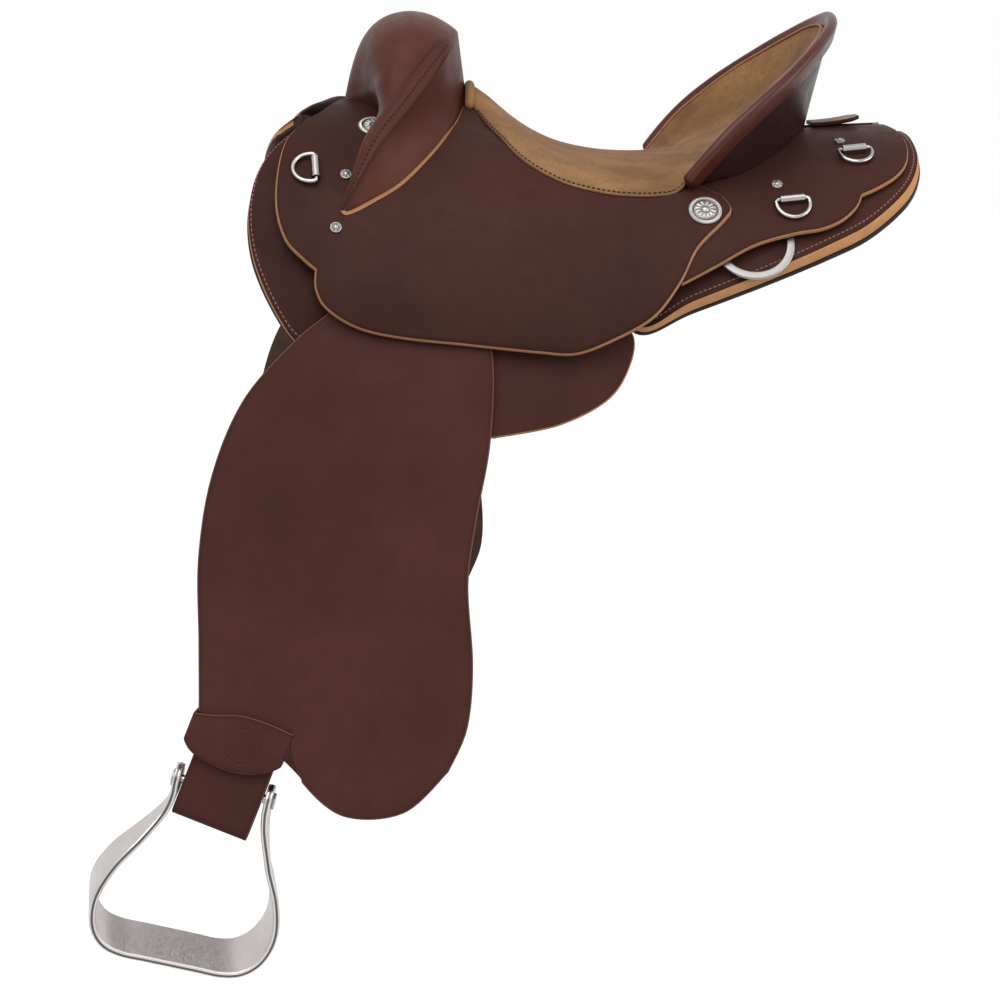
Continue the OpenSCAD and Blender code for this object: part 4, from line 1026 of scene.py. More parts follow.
class SaddleStage(bpy.types.PropertyGroup):
    """Light and camera of the picture."""

    lens: FloatProperty(name="Lens", description="Focal length in millimetres", default=72.0)
    distance: length("Distance", "Distance of the camera from its target", 2.0)
    azimuth: FloatProperty(name="Azimuth", description="Turn of the camera round the saddle",
                           default=math.radians(176), subtype="ANGLE")
    elevation: FloatProperty(name="Elevation", description="Height of the camera as an angle",
                             default=math.radians(16), subtype="ANGLE")
    target: FloatVectorProperty(name="Target", description="Point that the camera looks at", size=3,
                                default=(0.0665, 0.0915, -0.2494), subtype="XYZ", unit="LENGTH")
    key_power: FloatProperty(name="Key light", description="Power of the main light", default=62.0)
    fill_power: FloatProperty(name="Fill light", description="Power of the side light", default=26.0)
    sky: FloatProperty(name="Sky", description="Brightness of the surroundings on the saddle", default=0.42)


# Operators


class SeatJockeys(bpy.types.Operator):
    """Makes the two large seat jockeys."""

    bl_idname = "saddle.seat_jockeys"
    bl_label = "Seat jockeys"

    rows = 48
    slant = 1.4
    # Wider slant in the slot behind the thigh roll, with the columns over which it comes and goes
    slot_slant = 5.0
    slot_in = 12
    slot_out = 30
    # Columns before the front corner that keep the face's finish
    dyed_columns = 30

    def execute(self, context):
        z = in_mm(context)
        cut = strip(outline(JOCKEY_TOP), outline(JOCKEY_LOW), self.rows)
        first, last = FINE * JOCKEY_TOP[0][1], FINE * (JOCKEY_TOP[0][1] + JOCKEY_TOP[1][1])
        column = edge_columns(cut)
        slot = ease((column - first) / self.slot_in) * ease((last - column) / self.slot_out)
        skin = sheet(*laid(cut, 0.0, z.jockey_t), slant=self.slant + self.slot_slant * slot,
                     plain=column > len(column) - cut.shape[1] - self.dyed_columns)
        pair("jockey_sheet", skin, leather_set("jockey_leather"), "seat_jockey_{}", DARK_LEATHER)
        return {"FINISHED"}


class RearJockeys(bpy.types.Operator):
    """Makes the two rear jockeys behind the seat."""

    bl_idname = "saddle.rear_jockeys"
    bl_label = "Rear jockeys"

    rows = 44
    slant = 0.6

    def execute(self, context):
        z = in_mm(context)
        cut = strip(outline(REAR_JOCKEY_TOP), outline(REAR_JOCKEY_LOW), self.rows)
        skin = sheet(*laid(cut, rear_offset(z), z.rear_jockey_t), slant=self.slant,
                     plain=edge_columns(cut) < cut.shape[0])
        pair("rear_jockey_sheet", skin, leather_set("jockey_leather"), "rear_jockey_{}", DARK_LEATHER)
        return {"FINISHED"}


class Skirts(bpy.types.Operator):
    """Makes the skirts, whose raw edge slants outwards behind the seat."""

    bl_idname = "saddle.skirts"
    bl_label = "Skirts"

    rows = 36
    slant = 0.6
    bulge = 0.5
    uneven = 0.3
    front_columns = 60
    raw_rows = 2

    def execute(self, context):
        z = in_mm(context)
        top, low, face_edge = skirt_edges(z)
        face_cut, under_cut = strip(top, face_edge, self.rows), strip(top, low, self.rows)
        face = on_side(face_cut, skirt_depth(face_cut, z))
        under = on_side(under_cut, skirt_depth(under_cut, z) - z.skirt_t)
        # The top is dyed, and at the front only the upper part of the edge is left raw
        rows, columns = face.shape[1], face.shape[0]
        column = edge_columns(face)[None]
        row = np.arange(len(EDGE_ROWS) + 1)[:, None]
        front = column > column.size - rows - self.front_columns
        plain = (column < columns) | (column > column.size - rows) | (front & (row > self.raw_rows))
        skin = sheet(raised(face, self.uneven), under, bulge=self.bulge, slant=self.slant, plain=plain)
        pair("skirt_sheet", skin, leather_set("jockey_leather", "skirt_edge"), "skirt_{}", DARK_LEATHER)
        return {"FINISHED"}


class Linings(bpy.types.Operator):
    """Makes the felt linings under the skirts."""

    bl_idname = "saddle.linings"
    bl_label = "Linings"

    rows = 36
    bulge = 2.6
    # Felt swells where it isn't drawn in by the sewn edge
    drawn_in = 1.0
    swell = 1.2
    swell_run = 25.0

    def execute(self, context):
        z = in_mm(context)
        top, low, _ = skirt_edges(z)
        share = (z.lining_inset / np.maximum(span(low, top), 3 * z.lining_inset))[:, None]
        cut = strip(top + (low - top) * share, low + (top - low) * share, self.rows)
        depth = skirt_depth(cut, z) - z.skirt_t - LAYER_GAP
        face = on_side(cut, depth)
        swell = self.swell * ease(edge_distance(face) / self.swell_run)
        skin = sheet(face, on_side(cut, depth - z.lining_t + self.drawn_in - swell), bulge=self.bulge)
        for obj in pair("felt_lining", skin, finishes("felt", "felt", "felt"), "lining_{}", "fleece"):
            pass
        return {"FINISHED"}


class Fork(bpy.types.Operator):
    """Makes the leather over the fork and the sewn bands on the rims of its thigh rolls."""

    bl_idname = "saddle.fork"
    bl_label = "Fork"

    uneven = 0.3
    slant = 0.5
    # Beads along both edges of a band, and the row of stitches that draws its middle in
    bead_at = 0.12
    bead_w = 0.09
    bead = 0.8
    drawn_w = 0.1
    drawn = 0.5
    round_t = 0.7

    def execute(self, context):
        z = in_mm(context)
        t = np.concatenate((np.linspace(0, RIDGE_T, 41)[:-1], np.linspace(RIDGE_T, BRINK_T, 9)[:-1],
                            np.linspace(BRINK_T, 1, 37)))
        face = on_fork(np.linspace(-1, 1, 193), t)
        # The ridge and the brink are softened
        for _ in range(2):
            face[:, 1:-1] = (face[:, :-2] + 2 * face[:, 1:-1] + face[:, 2:]) / 4
        skin = sheet(raised(face, self.uneven), face - z.cover_t * normals(face), slant=self.slant)
        leather = leather_set("fork_leather", "fork_leather")
        piece("fork_leather", skin, leather, "saddle", ("fork_cover",), RED_LEATHER)
        s = np.linspace(BAND_START, BAND_END, 161)
        across = np.linspace(0, 1, 17)
        ground = on_fork(s, band_place(across))
        beads = hump(across, self.bead_at, self.bead_w) + hump(across, 1 - self.bead_at, self.bead_w)
        crown = self.round_t * np.sin(np.pi * across) + self.bead * beads
        crown = (crown - self.drawn * hump(across, 0.5, self.drawn_w))[None, :, None]
        up = normals(ground)
        rim = sheet(ground + (BAND_GAP + z.band_t + crown) * up, ground + BAND_GAP * up, bulge=1.0)
        pair("fork_band", rim, leather, "fork_welt_{}", RED_LEATHER)
        return {"FINISHED"}


class Seat(bpy.types.Operator):
    """Makes the padded suede seat with its rolled front."""

    bl_idname = "saddle.seat"
    bl_label = "Seat"

    uneven = 0.8
    sewn = 0.96
    crease = 2.8
    roll_at = (4.5, 0, 1.5)
    roll_r = 4.6

    def execute(self, context):
        z = in_mm(context)
        u = np.linspace(0, SEAT_ROWS, 225)[:, None]
        v = np.linspace(1, -1, 97)[None, :]
        face = on_seat(u + 0 * v, v + 0 * u)
        up = normals(face)
        w = np.abs(v)
        # Foam fills the middle; a row of stitches and the crease before the cantle draw the suede in
        fill = ease((0.8 - w) / 0.5) * ease((u - 0.5) / 1.5) * ease((9.2 - u) / 1.5)
        depth = (z.suede_t + (z.foam_t - 2) * fill)[..., None]
        sewn = self.sewn * hump(w, 0.975, 0.02) * ease((9.5 - u) / 1.5)
        crease = self.crease * hump(u - 0.9 * v**2, 8.9, 0.13) * ease((0.95 - w) / 0.2)
        top = face + up * (hills(face, self.uneven) - sewn - crease)[..., None]
        skin = sheet(top, face - up * depth, bulge=0.9)
        obj = piece("suede_seat", skin, leather_set("suede", "suede"), "saddle", ("seat_cover", "seat_foam"),
                    "suede")
        path = on_seat(np.full(49, 0.04), np.linspace(1, -1, 49)) + np.array(self.roll_at)
        piece("seat_roll", tube(path, self.roll_r, 20, (1, 0, 0.4)), finishes("suede"), "saddle",
              slot="suede", weld=True)
        return {"FINISHED"}


class Cantle(bpy.types.Operator):
    """Makes the cantle's back, the roll on its rim and the piping inside the rim."""

    bl_idname = "saddle.cantle"
    bl_label = "Cantle"

    binding_w = 23.0
    binding_t = 11.0
    binding_low = 1.5
    # How far the back reaches in under the binding, and where the binding and the piping end
    tuck = 3.0
    end_run = 0.035
    piping_start = 9.4
    piping_at = (0.8, 0, 1.0)

    def execute(self, context):
        z = in_mm(context)
        t = np.linspace(1, -1, 225)
        rim, foot = cantle_lines(t, z)
        down = unit(foot - rim)
        back = strip(rim + (z.binding_d / 2 + COVER_GAP - self.tuck) * down, foot, 40)
        face = back - normals(back) * hills(back, 0.4)[..., None]
        skin = sheet(face, back + z.cover_t * normals(back), slant=0.4)
        piece("cantle_back", skin, leather_set("cantle_leather", "dyed_edge"), "saddle", ("cantle_cover",),
              DARK_LEATHER)
        ahead = unit(np.gradient(rim, axis=0))
        low = unit(down - ahead * np.sum(down * ahead, -1, keepdims=True))
        ends = np.sqrt(ease((1 - np.abs(t)) / self.end_run) * 0.9 + 0.1)
        profile = rounded_box(np.full(225, self.binding_w), self.binding_t, self.binding_t / 2 - 0.1, 9)
        roll = carried(profile * ends[:, None, None], rim + self.binding_low * low, low, np.cross(ahead, low))
        piece("cantle_roll", surface(capped(roll), round_m=True), finishes("rim_leather"), "saddle",
              ("cantle_binding",), DARK_LEATHER, weld=True)
        edge = on_seat(np.linspace(self.piping_start, SEAT_ROWS, 90), np.ones(90))
        top = on_seat(np.full(60, float(SEAT_ROWS)), np.linspace(1, -1, 60))[1:-1]
        path = np.concatenate((edge, top, (edge * (1, -1, 1))[::-1])) + np.array(self.piping_at)
        piece("cantle_piping", tube(path, z.piping_d / 2, 10, (0.72, 0, 0.69)), finishes("cut_edge"),
              "saddle", slot=DARK_LEATHER, weld=True)
        return {"FINISHED"}


class Fenders(bpy.types.Operator):
    """Makes the two fenders."""

    bl_idname = "saddle.fenders"
    bl_label = "Fenders"

    rows = 72
    slant = 0.9
    uneven = 0.5

    def execute(self, context):
        z = in_mm(context)
        cut = strip(outline(FENDER_FRONT), outline(FENDER_REAR), self.rows)
        face = on_dish(cut, 0.0)
        face[..., 1] += hills(face, self.uneven)
        skin = sheet(face, on_dish(cut, -z.fender_t), slant=self.slant)
        pair("fender_sheet", skin, leather_set("fender_leather", "dyed_edge"), "fender_{}", RED_LEATHER,
             "fender_{}", lambda side: leather_frame(side)[:2])
        return {"FINISHED"}


class SweatFlaps(bpy.types.Operator):
    """Makes the bare sweat flaps under the fenders."""

    bl_idname = "saddle.sweat_flaps"
    bl_label = "Sweat flaps"

    rows = 56
    slant = 0.8
    room = 0.8

    def execute(self, context):
        z = in_mm(context)
        off = -z.fender_t - STITCH_GAP - z.strap_t - self.room
        cut = strip(outline(FLAP_FRONT), outline(FLAP_REAR), self.rows)
        skin = sheet(on_dish(cut, off), on_dish(cut, off - z.flap_t), slant=self.slant)
        pair("flap_sheet", skin, leather_set("fender_leather"), "sweat_flap_{}", RED_LEATHER,
             place=hanger_frame)
        return {"FINISHED"}


class StirrupLeathers(bpy.types.Operator):
    """Makes the stirrup leathers, folded round their rollers."""

    bl_idname = "saddle.stirrup_leathers"
    bl_label = "Stirrup leathers"

    strap_top = 20.0
    strap_taper = 34.0
    tail_l = 105.0

    def execute(self, context):
        z = in_mm(context)
        off = -z.fender_t - STITCH_GAP
        loop_in = roller_reach(z)
        for side, sign in SIDES:
            rotation, origin, _, _ = leather_frame(side)
            _, _, down, bolt_y = loop_frame(side, z)
            fold = down + z.bolt_rise - loop_in - z.strap_t
            upper = np.linspace(-self.strap_top, BEND_END, 81)
            straight = np.linspace(0, fold, 61)[1:]
            turn_a = np.radians(np.linspace(0, 180, 41))[1:-1]
            tail = np.linspace(fold, fold - self.tail_l, 61)
            gap = strap_gap(down - tail, z)

            def lower(out, fall):
                """A point of the straight part, outwards and down, as outwards and down from the stud."""
                c, s = math.cos(FLARE_ANGLE), math.sin(FLARE_ANGLE)
                outwards_at = off - flare(BEND_END) + out * c - fall * s
                return np.stack((outwards_at, BEND_END + fall * c + out * s), -1)

            def line(depth):
                """The strap's line at a depth under its face: down, round the roller and up again."""
                radius = loop_in + z.strap_t - depth
                first = np.stack((off - flare(upper) - depth, upper), -1)
                bend = lower(bolt_y + radius * np.cos(turn_a), fold + radius * np.sin(turn_a))
                return np.concatenate((first, lower(-depth + 0 * straight, straight), bend,
                                       lower(-2 * z.strap_t - gap + depth, tail)))

            along = line(0.0)[:, 1]
            run = np.concatenate((upper, np.full(len(along) - len(upper), BEND_END)))
            round_top = np.sqrt(np.maximum(self.strap_top**2 - np.minimum(run, 0) ** 2, 4.0))
            taper = self.strap_top + (z.strap_w / 2 - self.strap_top) * ease(run / self.strap_taper)
            half = np.minimum(z.strap_w / 2, np.where(run < 0, round_top, taper))
            across = half[:, None] * np.linspace(-1, 1, 25)
            grids = [np.stack(np.broadcast_arrays(across, p[:, :1], -p[:, 1:]), -1)
                     for p in (line(0.0), line(z.strap_t))]
            skin = mirrored(put(sheet(*grids, bulge=0.8), rotation, origin), sign)
            piece("stirrup_strap_" + side, skin, leather_set("fender_leather", "dyed_edge"), "fender_" + side,
                  ("stirrup_leather_" + side,), RED_LEATHER)
        return {"FINISHED"}


class Keepers(bpy.types.Operator):
    """Makes the slack keepers, each pressed with a plain ring of rays."""

    bl_idname = "saddle.keepers"
    bl_label = "Keepers"

    play = 4.0
    slack = 12.0
    keeper_up = 22.0
    seal_at = (-2.7, 48.3)
    seal_r = 16.5
    ring_r = 11.5
    corner = 4.5
    bow = 0.8
    bow_top = 1.6
    rows = 73
    columns = 380

    def execute(self, context):
        z = in_mm(context)
        front = z.fender_t + STITCH_GAP + LAYER_GAP
        back = 2 * z.strap_t + float(strap_gap(self.keeper_up, z)) + LAYER_GAP
        left = -z.strap_w / 2 - self.play - z.keeper_t
        right = left + z.strap_w + self.play + self.slack + 2 * z.keeper_t
        tall = front + back + 2 * z.keeper_t
        ring = rounded_box(right - left, tall, self.corner, 9)[0]
        corner = np.concatenate((ring, ring[:1]))
        run = np.concatenate(((0,), np.cumsum(np.linalg.norm(np.diff(corner, axis=0), axis=1))))
        s = np.linspace(0, run[-1], self.columns, endpoint=False)
        ring = np.stack([np.interp(s, run, corner[:, k]) for k in (0, 1)], -1)
        ring += ((left + right) / 2, (front - back) / 2)
        after, before = np.roll(ring, -1, 0), np.roll(ring, 1, 0)
        out = unit(np.stack(((after - before)[:, 1], -(after - before)[:, 0]), -1))
        high = curve(KEEPER_UPPER, np.linspace(0, 1, 200))
        low = curve(KEEPER_LOWER, np.linspace(0, 1, 200))
        top = np.interp(ring[:, 0], high[:, 0], high[:, 1])
        foot = np.interp(ring[:, 0], low[:, 0], low[:, 1])
        v = np.linspace(0, 1, self.rows)
        height = foot[:, None] + (top - foot)[:, None] * v
        # The slack front bows out, and its upper edge stands off the fender
        facing = ease((ring[:, 1] - front + 2) / 3)[:, None]
        middle = np.sin(np.pi * np.clip((ring[:, 0] - left) / (right - left), 0, 1))[:, None]
        bow = facing * middle * (self.bow + self.bow_top * v**3)
        face = np.stack(np.broadcast_arrays(ring[:, :1], ring[:, 1:], height), -1)
        lift = (bow - facing * self.seal(face[..., 0], height))[..., None]
        normal = np.concatenate((out, np.zeros((self.columns, 1))), 1)[:, None]
        skin = band(face + normal * lift, face - normal * z.keeper_t + normal * bow[..., None])
        pair("keeper_band", skin, leather_set("fender_leather", "dyed_edge"), "keeper_{}", RED_LEATHER,
             "fender_{}", lambda side: self.place(side, z))
        return {"FINISHED"}

    def seal(self, x, height):
        """Depth of the pressed ornament: an outer and an inner ring, and twelve rays within."""
        x, y = x - self.seal_at[0], height - self.seal_at[1]
        r, a = np.hypot(x, y), np.arctan2(y, x)
        rays = ease(np.sin(12 * a) * 1.5) * ease((r - 3.5) / 1.5) * ease((10.5 - r) / 1.5)
        return 0.55 * hump(r, self.seal_r, 0.7) + 0.4 * hump(r, self.ring_r, 0.6) + 0.35 * rays

    def place(self, side, z):
        """Place of a keeper on the straight part of its leather, at the height of the bolt."""
        rotation, start, down, _ = loop_frame(side, z)
        return rotation, start + rotation @ np.array((0, 0, -down))


class Stirrups(bpy.types.Operator):
    """Makes the bent metal stirrups with their bolts."""

    bl_idname = "saddle.stirrups"
    bl_label = "Stirrups"

    eye_top = 15.0
    head_t = 2.6
    twist = math.radians(14)
    rake = math.radians(6)
    stretch = 1.03
    settle = 70.0
    corner = 2.4
    # Columns of the band's section that are glossy and bright, and those painted dark as a shaded line along
    # its edges
    bright_columns = (1, 2, 3, 9, 10, 11, 14, 15, 25, 26)
    dark_columns = (27, 0, 12, 13)
    crease = 55

    def execute(self, context):
        z = in_mm(context)
        half, neck = (z.stirrup_w - z.stirrup_t) / 2, (z.neck_w - z.stirrup_t) / 2
        floor = -z.stirrup_h + z.stirrup_t / 2
        wide = half - neck
        arm = ((neck, self.eye_top), (neck, 0), (neck + 0.5, -15), (neck + 0.12 * wide, -33),
               (neck + 0.43 * wide, -60), (neck + 0.8 * wide, -87), (half, -112), (half, -132),
               (half - 7, -150), (half - 20, -162), (half - 38, floor), (half - 60, floor), (0, floor))
        run = curve(arm, np.linspace(0, 1, 181))
        run = np.concatenate((run, (run * (-1, 1))[-2::-1]))
        path = np.stack((run[:, 0], np.zeros(len(run)), run[:, 1]), -1)
        eye, tread = z.eye_w / 2, z.tread_w / 2
        flank = ((eye, 0), (eye - 1, -16), (eye + 2, -50), (tread - 4, -110), (tread, -140),
                 (tread, -z.stirrup_h - 2))
        flank = curve(flank, np.linspace(0, 1, 200))
        height = run[:, 1]
        reach = np.interp(-height, -flank[:, 1], flank[:, 0])
        round_top = np.sqrt(np.maximum(eye**2 - np.maximum(height, 0) ** 2, 6.0))
        width = 2 * np.where(height > 0, round_top, reach)
        tangent = unit(np.gradient(path, axis=0))
        lift = np.cross(tangent, (0, 1, 0))
        section = rounded_box(width, z.stirrup_t, self.corner, 7)
        arch = carried(section, path, np.tile((0.0, 1.0, 0.0), (len(path), 1)), lift)
        # Below the eyes the band is turned outwards at its front and raked forwards
        x, y, h = np.moveaxis(arch, -1, 0)
        share = ease(-h / self.settle)
        h = np.where(h < 0, h * self.stretch, h)
        c, s = np.cos(self.rake * share), np.sin(self.rake * share)
        x, h = x * c - h * s, x * s + h * c
        c, s = np.cos(self.twist * share), np.sin(self.twist * share)
        arch = np.stack((x * c - y * s, x * s + y * c, h), -1)
        column = np.zeros(arch.shape[1], int)
        column[list(self.bright_columns)] = 1
        column[list(self.dark_columns)] = 2
        metal_band = surface(capped(arch), column, round_m=True)
        bolt = put(self.bolt(z), turn("Y", math.radians(90)), np.zeros(3))
        for side, sign in SIDES:
            rotation, origin, hang = bolt_frame(side, z)
            body = "stirrup_" + side
            piece("stirrup_band_" + side, mirrored(put(metal_band, rotation @ hang, origin), sign),
                  finishes("satin_metal", "bright_metal", "dark_metal"), body, (body,), "bright_metal",
                  weld=True, crease=self.crease)
            piece("stirrup_pin_" + side, mirrored(put(bolt, rotation, origin), sign), finishes("steel"), body,
                  ("stirrup_bolt_" + side,), "steel", weld=True)
        return {"FINISHED"}

    def bolt(self, z):
        """The bolt along Z: a rod with a low round head at one end and a six-sided nut at the other."""
        end, r = z.neck_w / 2 + 2, z.bolt_d / 2
        rod = lathe(((0, -end), (r, -end), (r, end), (0, end)), 32)
        r, at = z.bolt_d * 0.95, z.neck_w / 2 + 0.2
        head = lathe(((0, at), (r - 0.5, at), (r, at + 0.5), (r, at + 1.0), (r - 0.8, at + 1.8),
                      (r - 2.6, at + 2.4), (0, at + self.head_t)), 40)
        r, top = z.bolt_d * 0.9, at + self.head_t
        nut = lathe(((0, -at), (r - 0.3, -at), (r, -at - 0.4), (r, -top + 0.6), (r - 0.8, -top),
                     (0, -top)), 6)
        return stacked(rod, head, nut)


def dee_path(r, corner=3.2, shank=5.0):
    """Line of a small dee: a straight bar, round corners, short shanks and a half circle."""
    a = np.radians(np.linspace(0, 180, 60))
    bow = np.stack((r * np.cos(a), shank + r * np.sin(a)), -1)
    q = np.radians(np.linspace(180, 270, 9))
    left = np.stack((-r + corner + corner * np.cos(q), corner + corner * np.sin(q)), -1)
    bar = np.stack((np.linspace(-r + corner, r - corner, 24)[1:-1], np.zeros(22)), -1)
    line = np.concatenate((bow, left, bar, (left * (-1, 1))[::-1]))
    return np.concatenate((line, np.zeros((len(line), 1))), 1)


def folded_clip(width, radius, wall, depth):
    """A strip folded round a bar: down on one side, a half turn over the bar, and down behind it."""
    a = np.radians(np.linspace(-10, 190, 33))
    grids = []
    for r in (radius, radius - wall):
        bend = np.stack((r * np.cos(a), r * np.sin(a)), -1)
        legs = np.linspace(0, 1, 8)[1:, None]
        first = bend[:1] + (np.array((r * 0.9, -depth)) - bend[:1]) * legs[::-1]
        last = bend[-1:] + (np.array((-r * 0.9, -depth)) - bend[-1:]) * legs
        line = np.concatenate((first, bend, last))
        x = np.linspace(-width / 2, width / 2, 25)
        grids.append(np.stack(np.broadcast_arrays(x, line[:, :1], line[:, 1:]), -1))
    return sheet(*grids, bulge=0.25)


class SmallDees(bpy.types.Operator):
    """Makes the six small dees and the folded clips that hold them."""

    bl_idname = "saddle.small_dees"
    bl_label = "Small dees"

    axis_gap = 0.6
    clip_wall = 1.4
    clip_foot = 0.2

    def execute(self, context):
        z = in_mm(context)
        axis = z.clip_d / 2 + self.axis_gap
        wire = tube(dee_path(z.dee_r), z.dee_wire / 2, 16, (0, 0, 1), closed=True)
        wire = put(wire, turn("X", DEE_SINK), np.zeros(3))
        clip = folded_clip(z.clip_l, z.clip_d / 2, self.clip_wall, axis - self.clip_foot)
        clips = []
        for name, spot, yaw, behind in DEE_SPOTS:
            off = axis + (rear_offset(z) if behind else 0.0)
            rotation, origin = fitting_frame(spot, off, yaw)
            for side, sign in SIDES:
                body = name + "_" + side
                piece("wire_" + body, mirrored(put(wire, rotation, origin), sign), finishes("steel"), body,
                      (body,), "steel")
                clips.append(mirrored(put(clip, rotation, origin), sign))
        piece("dee_sleeves", stacked(*clips), finishes("steel", "steel", "steel"), "saddle", ("dee_clips",),
              "steel")
        return {"FINISHED"}


class RiggingDees(bpy.types.Operator):
    """Makes the flat rigging dees and the leather tabs that they turn in."""

    bl_idname = "saddle.rigging_dees"
    bl_label = "Rigging dees"

    corner = 1.6

    def execute(self, context):
        z = in_mm(context)
        a = np.radians(np.linspace(0, 180, 97))
        way = np.stack((np.cos(a), np.sin(a), 0 * a), -1)
        section = rounded_box(np.full(97, z.rig_bar_w), z.rig_bar_t, self.corner, 6)
        bow = carried(section, z.rig_r * way, way, np.tile((0.0, 0.0, 1.0), (97, 1)))
        bar = np.stack((np.linspace(-z.rig_r, z.rig_r, 40), np.zeros(40), np.zeros(40)), -1)
        dee = stacked(surface(capped(bow), round_m=True), tube(bar, z.rig_bar_t / 2, 16, (0, 0, 1)))
        outer = z.rig_bar_t / 2 + TAB_WALL
        for (place, spot, yaw, tail), inward in ((FRONT_TAB, True), (REAR_TAB, False)):
            depth = float(skirt_depth(np.array(spot, float), z))
            off = depth - FRONT_TAB_IN if inward else depth + outer + REAR_TAB_GAP
            rotation, origin = fitting_frame(spot, off, yaw)
            fold = folded_clip(z.tab_l, outer, TAB_WALL, tail)
            tab = put(fold, turn("X", math.radians(-90)), np.zeros(3))
            for side, sign in SIDES:
                where = "%s_%s" % (place, side)
                body = "rigging_dee_" + where
                piece("bow_" + body, mirrored(put(dee, rotation, origin), sign), finishes("flat_steel"), body,
                      (body,), "steel", weld=True)
                piece("tab_leather_" + where, mirrored(put(tab, rotation, origin), sign),
                      leather_set("jockey_leather"), "saddle", ("rigging_tab_" + where,), DARK_LEATHER)
        return {"FINISHED"}


def concho_relief(r, a, size):
    """Smooth and chased heights of a concho: a dome, twelve petals in a ring, and a rope round the rim."""
    s = r / size
    rise = 4.2 * np.sqrt(np.maximum(1 - (0.86 * s) ** 2, 0)) - 1.6
    petals = 0.8 * np.abs(np.sin(6 * a)) * ease((s - 0.26) / 0.1) * ease((0.66 - s) / 0.1)
    boss = 1.3 * np.sqrt(np.maximum(1 - (s / 0.2) ** 2, 0))
    rope = (0.9 + 0.35 * np.sin(40 * a + 14 * s)) * np.sqrt(np.maximum(1 - ((s - 0.88) / 0.11) ** 2, 0))
    return rise, petals + boss + rope - 0.5 * hump(s, 0.72, 0.03)


def screw_relief(r, a, size):
    """Smooth and chased heights of an ornate screw head: a dome with eight flutes and a raised centre."""
    s = r / size
    rise = 2.6 * np.sqrt(np.maximum(1 - (0.9 * s) ** 2, 0))
    flutes = 0.6 * np.abs(np.sin(4 * a)) * ease((s - 0.3) / 0.15) * ease((0.95 - s) / 0.15)
    return rise, 0.45 - flutes + 0.5 * np.sqrt(np.maximum(1 - (s / 0.26) ** 2, 0))


def rosette(relief, size, rings, spokes):
    """A round ornament: a polar grid lifted by its relief, closed by a flat foot."""
    r = np.concatenate((np.linspace(0, 0.995, rings), (1.0, 1.0, 0.0))) * size
    a = np.linspace(0, 2 * np.pi, spokes, endpoint=False)[None, :]
    smooth, detail = relief(np.minimum(r, 0.995 * size)[:, None], a, size)
    height = smooth + detail
    height[-3] *= 0.8
    height[-2:] = 0.0
    grid = np.stack((r[:, None] * np.cos(a), r[:, None] * np.sin(a), height), -1)
    # The rim attribute keeps the chased relief, which is the mask for the painted shade in the hollows
    return surface(grid, round_m=True)._replace(rim=np.maximum(detail + 0.15, 0).ravel())


class Fittings(bpy.types.Operator):
    """Makes the conchos and the ornate screw heads."""

    bl_idname = "saddle.fittings"
    bl_label = "Conchos and screws"

    def execute(self, context):
        z = in_mm(context)
        concho = rosette(concho_relief, z.concho_d / 2, 52, 160)
        screw = rosette(screw_relief, z.screw_d / 2, 26, 64)
        conchos, screws = [], []
        for _, sign in SIDES:
            for spot in CONCHO_SPOTS:
                conchos.append(mirrored(put(concho, *fitting_frame(spot, SEAT_OFF, 0)), sign))
            for x, degrees, behind in SCREW_SPOTS:
                off = SEAT_OFF + (rear_offset(z) if behind else 0.0)
                screws.append(mirrored(put(screw, *fitting_frame((x, degrees), off, 0)), sign))
        for name, heads in (("concho", conchos), ("screw", screws)):
            piece(name + "_set", stacked(*heads), finishes("chased_metal"), "saddle", (name + "s",), "steel",
                  weld=True)
        return {"FINISHED"}


class CrupperStrap(bpy.types.Operator):
    """Makes the short strap behind the cantle."""

    bl_idname = "saddle.crupper_strap"
    bl_label = "Crupper strap"

    start = -252.0
    end = -299.0
    width = 28.0
    thick = 4.0
    lift = 5.0
    room = 0.2

    def execute(self, context):
        z = in_mm(context)
        s = np.linspace(0, 1, 49)[:, None]
        t = np.linspace(-0.5, 0.5, 25)[None, :]
        narrow = np.sqrt(np.maximum(1 - ease((s - 0.8) / 0.2) * 0.7, 0.05))
        x = self.start + (self.end - self.start) * s + 0 * t
        base = on_side(np.stack((x, 0 * x), -1), rear_offset(z) + LAYER_GAP + self.room)
        ground = np.stack((x, self.width * t * narrow, base[..., 2] + self.lift * s**2 + 0 * t), -1)
        face = ground + np.array((0, 0, self.thick))
        skin = sheet(face, ground, bulge=0.8)
        piece("crupper_leather", skin, leather_set("worn_leather", "jockey_leather"), "saddle",
              ("crupper_strap",), DARK_LEATHER)
        return {"FINISHED"}


